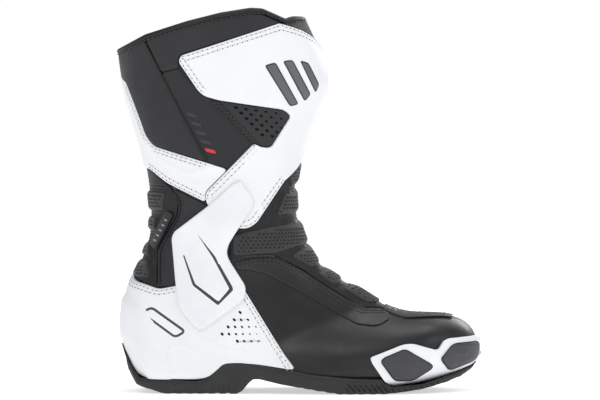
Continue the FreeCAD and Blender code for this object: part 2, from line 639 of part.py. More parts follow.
def make_toe_slider(layers):
    """White carrier with two pockets, a replaceable pad in each, and the screws that the pads hide."""
    core = sole_core("slider_core", LOOSE_FIT / 2)
    plate = common("slider_plate", layers["slider"], cutter("toe_slider", TOE_SLIDER, "lateral"))
    blank = cut("slider_blank", plate, core)
    windows = [SLIDER_REAR_WINDOW, SLIDER_FRONT_WINDOW]
    prisms = [cutter(f"slider_window_{n}", window, "lateral") for n, window in enumerate(windows)]
    pockets = fuse("slider_windows", prisms)
    pocketed = cut("slider_pocketed", blank, common("slider_pockets", layers["slider_top"], pockets))
    keep(cut("slider_drilled", pocketed, screw_holes("slider_holes")), "toe_slider_frame")
    for label, window in zip(("toe_slider_rear_pad", "toe_slider_front_pad"), windows):
        panel(label, layers["slider_pads"], shrunk(window, WINDOW_LEDGE), "lateral")
    screws = [screw_rod("slider_screw", *screw, "screw_r", "screw_length", SCREW_SINK) for screw in SCREWS]
    keep(fuse("slider_screws", screws), "toe_slider_screws")


def make_ankle(layers):
    """The soft pieces that fold as the ankle bends, and the brace that links shaft and foot."""
    panel("ankle_lining", layers["lining"], between(FOOT_EDGE, SHAFT_EDGE, ANKLE_GAP, -ANKLE_GAP))
    panel("ankle_padding", layers["padding"], between(FOOT_EDGE, SHAFT_EDGE, ANKLE_GAP, -ANKLE_GAP))
    panel("instep_bellows", layers["shell"], INSTEP_BELLOWS)
    panel("achilles_bellows", layers["shell"], REAR_BELLOWS)
    panel("lateral_quarter", layers["shell"], QUARTER, "lateral")
    panel("medial_quarter", layers["shell"], QUARTER, "medial")
    for label, windows in (("instep_mesh", INSTEP_WINDOWS), ("achilles_mesh", REAR_WINDOWS)):
        prisms = [cutter(f"{label}_{n}", w) for n, w in enumerate(windows)]
        keep(common(label, layers["panels"], fuse(label + "_cutters", prisms)), label)
    panel("side_tag", layers["overlay"], SIDE_TAG, "lateral")
    blank = common("brace_blank", layers["brace"], cutter("ankle_brace", BRACE, "lateral"))
    groove = common("brace_channel", layers["brace_top"], cutter("brace_groove", BRACE_GROOVE, "lateral"))
    keep(cut("brace_grooved", blank, groove), "ankle_brace")
    panel("brace_inlay", layers["inlay"], shrunk(BRACE_GROOVE, INLAY_GAP), "lateral")


def make_shaft(layers):
    """The shaft's walls and the panels laid over them."""
    panel("shaft_lining", layers["lining"], between(SHAFT_EDGE, RIM, 0, -BINDING_DEPTH - BINDING_GAP))
    panel("shaft_padding", layers["padding"], between(SHAFT_EDGE, RIM, 0, -BINDING_DEPTH - BINDING_GAP))
    panel("shaft_shell", layers["shell"], between(SHAFT_EDGE, RIM, 0, -BINDING_DEPTH - BINDING_GAP))
    panel("collar_binding", layers["binding"], between(RIM, RIM, -BINDING_DEPTH))
    gap = size("seam_gap")
    panel("calf_panel", layers["panels"], CALF_PANEL, "lateral", gap)
    panel("upper_panel", layers["panels"], UPPER_PANEL, "lateral", gap)
    panel("stretch_panel", layers["panels"], STRETCH_PANEL, "lateral", gap)
    panel("vent_insert", layers["panels"], VENT_INSERT, "lateral", gap,
          vent_holes("insert_vents", INSERT_VENT_ROWS, INSERT_VENT_PITCH, INSERT_VENT_FALL))
    panel("medial_rear_panel", layers["panels"], MEDIAL_REAR, "medial", gap)
    panel("medial_front_panel", layers["panels"], MEDIAL_FRONT, "medial", gap)
    panel("front_gusset", layers["panels"], FRONT_GUSSET)
    two_sided("calf_band", layers["panels"], CALF_BAND_LATERAL, CALF_BAND_MEDIAL)
    two_sided("shin_plate", layers["plate"], SHIN_LATERAL, SHIN_MEDIAL)
    prisms = [cutter(f"shin_bar_{n}", bar, "lateral") for n, bar in enumerate(SHIN_BARS)]
    bars = fuse("shin_bar_cutters", prisms)
    keep(common("shin_bars", layers["graphic"], bars), "shin_graphic")


def two_sided(label, base, lateral, medial):
    """A node whose outline differs on the two sides. The cutters overlap at the middle, so it's one piece."""
    both = fuse(label + "_cutters", [cutter(label + "_lateral", lateral, "lateral", -MIDDLE_OVERLAP),
                                     cutter(label + "_medial", medial, "medial", -MIDDLE_OVERLAP)])
    keep(common(label, base, both), label)


def make_closure(layers):
    """The hook-and-loop flap over the top of the zip."""
    panel("closure_flap", layers["flap"], FLAP, "medial")
    panel("hook_patch", layers["hook"], HOOK_PATCH, "medial")
    panel("loop_patch", layers["overlay"], LOOP_PATCH, "medial")
    panel("flap_base", layers["strap_root"], FLAP_BASE, "medial")


# ---- The zip, in its own plane: x towards the heel, y up the zip, z outwards ----

def zip_frame():
    tilt = math.radians(size("zip_tilt"))
    up = Vector(0, math.sin(tilt), math.cos(tilt))
    out = Vector(0, math.cos(tilt), -math.sin(tilt))
    return Placement(row_point(size("zip_x"), size("zip_y"), size("zip_top_z")),
                     Rotation(Vector(-1, 0, 0), up, out, "ZXY"))


def zip_box(name, x, y, z, length, width, height):
    """A box in the zip's plane, given by its lowest corner and the cells for its size."""
    box = doc.addObject("Part::Box", name)
    bind(box, Length=length, Width=width, Height=height)
    box.Placement = zip_frame().multiply(Placement(Vector(x, y, z), Rotation()))
    return box


def zip_rod(name, height, radius, length):
    """A round rod across the zip, centred on it, at a height above the zip's plane."""
    rod = doc.addObject("Part::Cylinder", name)
    bind(rod, Radius=radius, Height=length)
    doc.recompute()
    rod.Placement = zip_frame().multiply(Placement(Vector(-rod.Height.Value / 2, 0, height),
                                                   Rotation(Vector(0, 1, 0), 90)))
    return rod


def make_zip():
    """Tape, teeth and end stops of the chain, then the slider and its pull."""
    start = -size("tape_below")
    keep(zip_box("tape", -size("tape_width") / 2, start, size("tape_in"), "tape_width",
                 "tape_above + tape_below", "tape_thickness"), "zip_tape")
    pitch = size("tooth_pitch")
    count = int((size("tape_above") + size("tape_below") - 4 * size("stop_length")) / pitch)
    first = start + 2 * size("stop_length")
    teeth = [zip_box("tooth", -size("tooth_width") / 2, first + k * pitch, size("tooth_in"), "tooth_width",
                     "tooth_length", "tooth_thickness") for k in range(count)]
    keep(fuse("teeth", teeth), "zip_teeth")
    ends = (first - 1.5 * size("stop_length"), first + count * pitch + 0.2 * size("stop_length"))
    stops = [zip_box("stop", -size("stop_width") / 2, y, size("tooth_in"), "stop_width", "stop_length",
                     "stop_thickness") for y in ends]
    keep(fuse("stops", stops), "zip_stops")
    make_zip_slider()
    make_zip_pull()


def make_zip_slider():
    """A channel over the teeth with two ears and the pivot pin between them."""
    wide, long, wall = size("slider_width"), size("slider_length"), size("slider_wall")
    low = size("slider_bottom")
    top = low + size("slider_height")
    block = zip_box("slider_block", -wide / 2, -long / 2, low,
                    "slider_width", "slider_length", "slider_height")
    channel = zip_box("slider_channel", wall - wide / 2, -long, low - size("slider_roof"),
                      "slider_width - 2 * slider_wall", "2 * slider_length", "slider_height")
    ears = [zip_box("ear", side * (size("ear_gap") + size("ear_thickness")) / 2 - size("ear_thickness") / 2,
                    -size("ear_length") / 2, top - size("slider_roof") / 2, "ear_thickness", "ear_length",
                    "ear_height") for side in (-1, 1)]
    pin = zip_rod("pivot_pin", size("pivot_height"), "pivot_r", "ear_gap + 2 * ear_thickness")
    keep(fuse("slider_body", [cut("slider_shell", block, channel)] + ears + [pin]), "zip_slider")


def make_zip_pull():
    """The tab that hangs from the pin, with a moulded grip on its end."""
    height, wide, long = size("pivot_height"), size("pull_width"), size("pull_length")
    neck = size("ear_gap") - size("seam_gap")
    base = height - size("eye_r")
    eye = zip_rod("pull_eye", height, "eye_r", "ear_gap - seam_gap")
    link = zip_box("pull_neck", -neck / 2, -size("neck_length"), base, "ear_gap - seam_gap", "neck_length",
                   "pull_thickness")
    plate = zip_box("pull_plate", -wide / 2, -long, base,
                    "pull_width", "pull_length - neck_length + seam_gap", "pull_thickness")
    bored = cut("pull_metal", fuse("pull_blank", [eye, link, plate]),
                zip_rod("pull_bore", height, "pivot_bore_r", "2 * ear_gap"))
    corner = (-size("grip_width") / 2, -long - size("grip_thickness"),
              base + (size("pull_thickness") - size("grip_thickness")) / 2)
    block = ("grip_width", "grip_length", "grip_thickness")
    keep(cut("pull_trimmed", bored, zip_box("grip_space", *corner, *block)), "zip_pull")
    keep(zip_box("grip", *corner, *block), "zip_pull_grip")


# ---- The assembly ----

def export_nodes():
    """Checks every object and every node's shape, then writes the STEP files."""
    doc.recompute()
    for obj in doc.Objects:
        if "Invalid" in obj.State or "Error" in obj.State:
            raise RuntimeError(f"{obj.Name} ({obj.Label}): {obj.getStatusString()}")
    os.makedirs("parts", exist_ok=True)
    low, high = Vector(1e9, 1e9, 1e9), Vector(-1e9, -1e9, -1e9)
    for node in NODES:
        shape = node.Shape
        if shape.isNull() or not shape.isValid() or not shape.Solids:
            raise RuntimeError(f"{node.Label} has no valid solid")
        shape.exportStep(f"parts/{node.Label}.step")
        box = shape.optimalBoundingBox()
        low = Vector(min(low.x, box.XMin), min(low.y, box.YMin), min(low.z, box.ZMin))
        high = Vector(max(high.x, box.XMax), max(high.y, box.YMax), max(high.z, box.ZMax))
        print(f"{node.Label:24s} {len(shape.Solids):3d} solids {shape.Volume:10.1f} mm3")
    print("box", [round(v, 2) for v in (*low, *high)])


fill_sheet()
LAYERS = make_layers()
make_outsole()
make_sole_inside(LAYERS)
make_foot(LAYERS)
make_toe_slider(LAYERS)
make_ankle(LAYERS)
make_shaft(LAYERS)
make_closure(LAYERS)
make_zip()
export_nodes()
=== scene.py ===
"""Looks of the road riding boot: skins, panels, stitching, mesh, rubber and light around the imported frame.

Lengths are millimetres in the same drawing frame as the CAD, X forward from the back of the heel, Y
towards the inner (medial) side and Z up. to_row() turns them into the frame's metres. Every panel of the
upper lies on one free-form last, at an offset t from it, so a place on the upper is a pair (u, v): u goes
once round a station from the back middle, through the lateral side, and v is the distance along the last
from the collar to the toe.
"""
import math
import bpy
import numpy as np
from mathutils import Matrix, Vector, geometry


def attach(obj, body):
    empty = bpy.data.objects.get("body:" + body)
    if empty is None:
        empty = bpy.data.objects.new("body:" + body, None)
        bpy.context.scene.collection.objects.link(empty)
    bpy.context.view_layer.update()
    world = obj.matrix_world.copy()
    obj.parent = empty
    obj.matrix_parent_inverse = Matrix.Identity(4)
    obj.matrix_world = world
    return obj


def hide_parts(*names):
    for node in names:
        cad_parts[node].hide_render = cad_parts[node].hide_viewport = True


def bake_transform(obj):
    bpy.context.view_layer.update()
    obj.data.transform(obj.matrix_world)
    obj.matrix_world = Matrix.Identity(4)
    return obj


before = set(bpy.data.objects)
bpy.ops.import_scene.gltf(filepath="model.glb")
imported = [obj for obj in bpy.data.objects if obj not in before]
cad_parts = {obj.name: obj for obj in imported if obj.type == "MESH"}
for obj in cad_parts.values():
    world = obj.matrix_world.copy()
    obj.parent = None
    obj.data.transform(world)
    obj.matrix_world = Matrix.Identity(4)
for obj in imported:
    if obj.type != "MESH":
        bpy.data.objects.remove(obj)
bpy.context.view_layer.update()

ORIGIN = np.array([150.24, 1.68, 0.0])
MM = 0.001
TAU = 2 * math.pi

# Stations of the last: back x and z, front x and z, half width, centre y, share of the depth behind the
# widest point, roundness in front, roundness behind, and how far the skin faces forward.
STATIONS = np.array([
    (1, 298, 143, 328, 56.6, 0, 0.50, 2.2, 2.2, 0),
    (3, 272, 163, 287, 55.0, 0, 0.50, 2.2, 2.2, 0),
    (8, 244, 171, 254, 52.0, 0, 0.50, 2.2, 2.2, 0),
    (16, 216, 159, 221, 49.1, 0, 0.50, 2.2, 2.2, 0),
    (23, 190, 150, 191, 46.4, 0, 0.50, 2.2, 2.2, 0),
    (27, 164, 146, 164, 43.9, 0, 0.50, 2.2, 2.2, 0),
    (28, 140, 149, 141, 41.7, 0, 0.48, 2.2, 2.2, 0),
    (25, 122, 155, 124, 40.1, 0, 0.46, 2.2, 2.3, 0),
    (18, 104, 163, 110, 39.0, 0, 0.44, 2.2, 2.4, 0),
    (10, 86, 172, 101, 38.8, 0, 0.42, 2.1, 2.5, 0),
    (6, 66, 181, 95, 39.6, 0, 0.40, 2.0, 2.6, 0),
    (6, 46, 190, 89, 40.6, 0, 0.38, 2.0, 2.8, 0),
    (10, 29, 198, 85, 41.6, 0, 0.36, 2.0, 3.4, 0),
    (22, 13, 206, 80, 42.0, 0, 0.34, 2.0, 5.0, 0),
    (55, 10, 214, 75, 42.0, 0, 0.32, 2.0, 8.0, 0),
    (100, 15, 224, 70, 43.4, -1, 0.32, 2.0, 8.0, 0),
    (145, 11.5, 234, 66.5, 47.6, -1, 0.34, 2.0, 8.0, 0),
    (188, 8, 246, 64.5, 50.8, 0, 0.38, 2.1, 7.0, 0),
    (222, 7, 259, 63.8, 50.4, 2, 0.42, 2.2, 5.0, 0.05),
    (249, 10, 272, 62.6, 46.5, 5, 0.45, 2.2, 3.6, 0.15),
    (269, 14, 283, 59.6, 39.5, 8, 0.47, 2.2, 2.8, 0.35),
    (283, 19, 291.2, 54, 30.0, 10, 0.48, 2.2, 2.6, 0.6),
    (292, 24, 296.2, 45.8, 19.0, 12, 0.50, 2.1, 2.4, 0.85),
    (296.5, 28.5, 297.8, 37, 8.0, 12, 0.50, 2.0, 2.0, 1),
], float)


# ---- The last ----

def spline_parts():
    """Places of the stations along the last, and the matrix from values there to a spline's curvatures."""
    ends = STATIONS[:, :4]
    steps = np.hypot(*np.diff(ends[:, :2], axis=0).T) + np.hypot(*np.diff(ends[:, 2:], axis=0).T)
    places = np.concatenate([[0], np.cumsum(steps / 2)])
    n, h = len(places), np.diff(places)
    left, right = np.zeros((n, n)), np.zeros((n, n))
    left[0, 0] = left[-1, -1] = 1
    for i in range(1, n - 1):
        left[i, i - 1:i + 2] = h[i - 1], 2 * (h[i - 1] + h[i]), h[i]
        right[i, i - 1:i + 2] = 3 / h[i - 1], -3 / h[i - 1] - 3 / h[i], 3 / h[i]
    return places, np.linalg.solve(left, right)


PLACES, CURVATURE = spline_parts()
REACH = PLACES[-1]


def station_weights(v):
    """How much each station counts at v."""
    i = np.clip(np.searchsorted(PLACES, v, side="right") - 1, 0, len(PLACES) - 2)
    h = (PLACES[i + 1] - PLACES[i])[:, None]
    d = (v - PLACES[i])[:, None]
    one = np.eye(len(PLACES))
    slope = (one[i + 1] - one[i]) / h - h * (2 * CURVATURE[i] + CURVATURE[i + 1]) / 3
    return one[i] + d * (slope + d * (CURVATURE[i] + d * (CURVATURE[i + 1] - CURVATURE[i]) / (3 * h)))


def skin(u, v, t=0.0):
    """Points of the last at (u, v), moved out by t. Arrays of any one shape."""
    u, v, t = np.broadcast_arrays(np.asarray(u, float), v, t)
    shape = u.shape
    u, v, t = u.ravel(), v.ravel(), t.ravel()
    out = np.empty((len(u), 3))
    bx, bz, fx, fz, half, mid, share, front, back, nose = STATIONS.T
    depth = np.hypot(fx - bx, fz - bz)
    ax, az = (fx - bx) / depth, (fz - bz) / depth
    side = np.sqrt(1 - nose ** 2)
    for start in range(0, len(u), 20000):
        part = slice(start, start + 20000)
        angle = math.pi + TAU * u[part, None]
        c, s = np.cos(angle), np.sin(angle)
        power = np.where(c > 0, front, back)
        spread = (np.abs(c) ** power + np.abs(s) ** power) ** (-1 / power)
        c, s = c * spread, s * spread
        push = t[part, None]
        along = depth * share + c * (depth * np.where(c > 0, 1 - share, share) + push * side)
        ahead = push * nose
        weight = station_weights(v[part])
        out[part, 0] = (weight * (bx + ax * along + az * ahead)).sum(1)
        out[part, 1] = (weight * (mid + s * (half + push * side))).sum(1)
        out[part, 2] = (weight * (bz + az * along - ax * ahead)).sum(1)
    return out.reshape(shape + (3,))


def slopes(uv, t):
    """Points at uv, and the surface's two tangents there."""
    p = skin(uv[:, 0], uv[:, 1], t)
    du = (skin(uv[:, 0] + 1e-4, uv[:, 1], t) - p) / 1e-4
    dv = (skin(uv[:, 0], uv[:, 1] + 0.05, t) - p) / 0.05
    return p, du, dv


def normals(uv, t):
    _, du, dv = slopes(uv, t)
    n = np.cross(dv, du)
    return n / np.linalg.norm(n, axis=1, keepdims=True)


def solve_pair(du, dv, want):
    """The (a, b) that bring a*du + b*dv nearest to want, row by row."""
    m = np.stack([(du * du).sum(1), (du * dv).sum(1), (dv * dv).sum(1)], 1)
    r = np.stack([(du * want).sum(1), (dv * want).sum(1)], 1)
    det = m[:, 0] * m[:, 2] - m[:, 1] ** 2
    det = np.where(np.abs(det) < 1e-9, 1e-9, det)
    a = (m[:, 2] * r[:, 0] - m[:, 1] * r[:, 1]) / det
    b = (m[:, 0] * r[:, 1] - m[:, 1] * r[:, 0]) / det
    return np.stack([a, b], 1)


TABLE_U, TABLE_V = np.meshgrid(np.linspace(0.0, 0.5, 61), np.linspace(0, REACH, 300))
TABLE_P = skin(TABLE_U, TABLE_V, 1.0)


def locate(xz, t=1.0):
    """(u, v) on the lateral half for points of the side view. Points past the silhouette land on it."""
    xz = np.asarray(xz, float)
    gap = (TABLE_P[..., 0].ravel() - xz[:, :1]) ** 2 + (TABLE_P[..., 2].ravel() - xz[:, 1:]) ** 2
    best = gap.argmin(1)
    uv = np.stack([TABLE_U.ravel()[best], TABLE_V.ravel()[best]], 1)
    for _ in range(8):
        uv[:, 0] = np.clip(uv[:, 0], 0.004, 0.496)
        p, du, dv = slopes(uv, t)
        want = np.zeros_like(p)
        want[:, 0], want[:, 2] = xz[:, 0] - p[:, 0], xz[:, 1] - p[:, 2]
        du[:, 1] = dv[:, 1] = 0
        uv += np.clip(solve_pair(du, dv, want), [-0.03, -12], [0.03, 12])
        uv[:, 1] = np.clip(uv[:, 1], 0, REACH)
    uv[:, 0] = np.clip(uv[:, 0], 0, 0.5)
    return uv


def middle(u, z, t=1.0):
    """v of the front or back middle line at a height."""
    v = np.linspace(0, REACH if u else PLACES[13], 2000)
    return v[np.abs(skin(np.full_like(v, u), v, t)[:, 2] - z).argmin()]


# ---- Paths on the last ----
# A path's nodes are (x, z) on the lateral side, (x, z, "m") on the medial side, ("f", z) or ("b", z) on the
# front or back middle line, and ("g", z, u) at u on the girth line whose front is at z.

def medial(nodes):
    return [(x, z, "m") for x, z in nodes]


def mirrored(nodes):
    """The same nodes on the other side, in the opposite order."""
    return medial(reversed(nodes))


CORNER_POINTS = 7
CORNER_SHARE = 0.42     # of the shorter side, the most that a rounded corner takes


def rounded(nodes, radius, closed):
    """Nodes with each corner that lies between two others of its own side replaced by a short curve."""
    out, places = [], []
    count = len(nodes)
    for i, node in enumerate(nodes):
        before, after = nodes[i - 1], nodes[(i + 1) % count]
        inner = closed or 0 < i < count - 1
        kinds = {n[0] if isinstance(n[0], str) else len(n) for n in (before, node, after)}
        if not inner or len(kinds) > 1 or isinstance(node[0], str) or radius <= 0:
            places.append(len(out))
            out.append(node)
            continue
        p, a, b = (np.array(n[:2], float) for n in (node, before, after))
        la, lb = np.linalg.norm(a - p), np.linalg.norm(b - p)
        cut = min(radius, CORNER_SHARE * la, CORNER_SHARE * lb)
        start, end = p + (a - p) / la * cut, p + (b - p) / lb * cut
        places.append(len(out) + CORNER_POINTS // 2)
        for s in np.linspace(0, 1, CORNER_POINTS):
            q = (1 - s) ** 2 * start + 2 * s * (1 - s) * p + s * s * end
            out.append(tuple(q) + tuple(node[2:]))
    return out, places


def crossed(u, wrap):
    """u of the same place on the medial side, counted through the front middle or through the back."""
    return 1 - u if wrap == "front" else -u


def trace(nodes, closed=False, radius=2.0, wrap="front", step=2.0, t=1.0):
    """A fine polyline in (u, v) through the nodes, and where each node came to lie in it."""
    nodes, places = rounded(list(nodes), radius, closed)
    knots = []
    for node in nodes:
        if isinstance(node[0], str):
            u = 0.0 if node[0] == "b" else 0.5
            knots.append((node[2] if node[0] == "g" else u, middle(u, node[1], t)))
        else:
            knots.append(None)
    found = locate([n[:2] if k is None else (0, 0) for n, k in zip(nodes, knots)], t)
    for i, node in enumerate(nodes):
        if knots[i] is None:
            u, v = found[i]
            if len(node) > 2:
                u = crossed(u, wrap)
            knots[i] = (u, v)
    line, starts = [], []
    last = len(nodes) if closed else len(nodes) - 1
    for i in range(last):
        a, b = nodes[i], nodes[(i + 1) % len(nodes)]
        ka, kb = np.array(knots[i]), np.array(knots[(i + 1) % len(nodes)])
        starts.append(len(line))
        flat = not isinstance(a[0], str) and not isinstance(b[0], str) and len(a) == len(b)
        if flat:
            span = math.dist(a[:2], b[:2])
        else:
            span = np.linalg.norm(skin(*ka) - skin(*kb)) * 1.2
        count = max(1, int(round(span / step)))
        share = np.arange(count)[:, None] / count
        if flat and count > 1:
            xz = np.array(a[:2]) * (1 - share) + np.array(b[:2]) * share
            uv = locate(xz, t)
            if len(a) > 2:
                uv[:, 0] = crossed(uv[:, 0], wrap)
            line.extend(uv)
        else:
            line.extend(ka * (1 - share) + kb * share)
    if not closed:
        starts.append(len(line))
        line.append(np.array(knots[-1]))
    line = np.array(line)
    return line, [starts[p] for p in places]


def shifted(line, distance, t=1.0, closed=True):
    """A line moved sideways on the skin by a distance, to the left as seen from outside with v downwards."""
    p, du, dv = slopes(line, t)
    if closed:
        along = np.roll(p, -1, 0) - np.roll(p, 1, 0)
    else:
        along = np.gradient(p, axis=0)
    out = np.cross(dv, du)
    aside = np.cross(out, along)
    aside /= np.maximum(np.linalg.norm(aside, axis=1, keepdims=True), 1e-9)
    return line + solve_pair(du, dv, aside * distance)


def area(line):
    x, y = line.T
    return 0.5 * np.sum(x * np.roll(y, -1) - np.roll(x, -1) * y)


def inward(line, t=1.0):
    """+1 or -1: the sign of shifted() that shrinks a closed line."""
    return 1 if abs(area(shifted(line, 0.2, t))) < abs(area(line)) else -1


def ramp(value):
    return np.clip(value, 0, 1)


def smooth(value):
    """A soft step from 0 to 1 as value goes from 0 to 1."""
    share = ramp(value)
    return share * share * (3 - 2 * share)


def inside(points, loop):
    """Which points lie in a closed loop."""
    x, y = points[:, :1], points[:, 1:]
    x0, y0 = loop.T
    x1, y1 = np.roll(x0, -1), np.roll(y0, -1)
    rise = np.where(np.abs(y1 - y0) < 1e-12, 1e-12, y1 - y0)
    cross = ((y0 > y) != (y1 > y)) & (x < (x1 - x0) * (y - y0) / rise + x0)
    return cross.sum(1) % 2 == 1


def distance_to(points, line, closed):
    """Least distance from each point to a polyline."""
    a = line if closed else line[:-1]
    b = np.roll(line, -1, 0) if closed else line[1:]
    best = np.full(len(points), 1e9)
    for p, q in zip(a, b):
        d = q - p
        s = np.clip(((points - p) @ d) / max(d @ d, 1e-12), 0, 1)
        best = np.minimum(best, np.linalg.norm(points - p - s[:, None] * d, axis=1))
    return best


# ---- Meshes ----

def to_row(points):
    return (np.asarray(points) - ORIGIN) * MM


SMOOTH_BELOW = math.radians(50)


def make_object(name, points, faces, materials, indices=None, flat=False):
    mesh = bpy.data.meshes.new(name)
    mesh.from_pydata(to_row(points).tolist(), [], [tuple(map(int, f)) for f in faces])
    for m in materials:
        mesh.materials.append(m)
    if indices is not None:
        mesh.polygons.foreach_set("material_index", np.asarray(indices, np.int32))
    mesh.validate()
    obj = bpy.data.objects.new(name, mesh)
    bpy.context.scene.collection.objects.link(obj)
    if not flat:
        mesh.polygons.foreach_set("use_smooth", [True] * len(mesh.polygons))
        mesh.set_sharp_from_angle(angle=SMOOTH_BELOW)
    return obj


def settle(obj, body, nodes=()):
    """Attaches a piece to the body it rides on and hides the CAD nodes it replaces. For "ankle" the piece is
    attached to nothing; its transform is baked into its mesh.
    """
    if body == "ankle":
        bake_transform(obj)
    else:
        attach(obj, body)
    if nodes:
        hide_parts(*nodes)
    return obj


def ring_faces(a, b, count):
    """Quads between two closed rings of vertices that start at a and b."""
    i = np.arange(count)
    j = (i + 1) % count
    return np.stack([a + i, a + j, b + j, b + i], 1).tolist()


def triangles(loop, extra):
    """Delaunay triangles of a loop with points inside it. Vertex order is loop, then extra."""
    verts = [Vector(p) for p in np.vstack([loop, extra])]
    face = list(range(len(loop)))
    _, _, tris, origin, _, _ = geometry.delaunay_2d_cdt(verts, [], [face], 1, 1e-7)
    back = [o[0] if o else -1 for o in origin]
    return [[back[i] for i in tri] for tri in tris if all(back[i] >= 0 for i in tri)]


def hex_points(low, high, pitch):
    rows = np.arange(low[1], high[1] + pitch, pitch * math.sqrt(3) / 2)
    out = []
    for n, y in enumerate(rows):
        x = np.arange(low[0] + (n % 2) * pitch / 2, high[0] + pitch, pitch)
        out.append(np.stack([x, np.full_like(x, y)], 1))
    return np.vstack(out)


class Relief:
    """A raised or sunk line, or with closed a raised plate with sloping edges."""

    def __init__(self, nodes, width, height, closed=False, radius=3.0, step=1.6):
        self.nodes, self.width, self.height = nodes, width, height
        self.closed, self.radius, self.step = closed, radius, step

    def prepare(self, wrap, t):
        self.line, _ = trace(self.nodes, self.closed, self.radius, wrap, self.step, t)
        self.points = skin(self.line[:, 0], self.line[:, 1], t)
        spread = (0, 1.0) if self.closed else (-1.15, -0.55, 0, 0.55, 1.15)
        sign = inward(self.line, t) if self.closed else 1
        self.samples = np.vstack([shifted(self.line, sign * k * self.width, t, self.closed) for k in spread])

    def lift(self, uv, points):
        gap = distance_to(points, self.points, self.closed)
        if self.closed:
            rise = np.where(inside(uv, self.line), smooth(gap / self.width), 0)
        else:
            rise = ramp(1 - (gap / self.width) ** 2) ** 2
        return self.height * rise


PIT_SIDES = 10
PIT_FLOOR = 0.86        # share of a pit's rim that its floor has


class Pits:
    """Punched holes: (x, z, radius) each, ovals stretched sideways and then tilted, in degrees."""

    def __init__(self, holes, depth, stretch, tilt):
        self.holes, self.depth, self.stretch, self.turn = holes, depth, stretch, math.radians(tilt)

    def rings(self, t):
        """Places, rises and darkness of each pit's rim, floor and middle. The dark floor and middle are the
        dark layer under the hole and painted shade inside it.
        """
        out = []
        c, s = math.cos(self.turn), math.sin(self.turn)
        for x, z, r in self.holes:
            a = np.arange(PIT_SIDES) * TAU / PIT_SIDES
            px, pz = r * self.stretch * np.cos(a), r * np.sin(a)
            ring = np.stack([x + px * c - pz * s, z + px * s + pz * c], 1)
            centre = np.array([[x, z]])
            out.append(np.vstack([ring, centre + (ring - centre) * PIT_FLOOR, centre]))
        lift = np.concatenate([np.zeros(PIT_SIDES), np.full(PIT_SIDES + 1, -self.depth)])
        return locate(np.vstack(out), t), np.tile(lift, len(out)), np.tile(lift < 0, len(out))


# A panel's rounded rim, as (distance in, drop from the top), both as shares of the edge's size.
RIM_CURVE = [(0, 1), (0.12, 0.5), (0.45, 0.12), (1, 0)]
# Spacing of the points under a panel, and how clear of other points the middle of a pit is kept.
UNDER_SPACING = 6.0
PIT_ROOM = 1.6


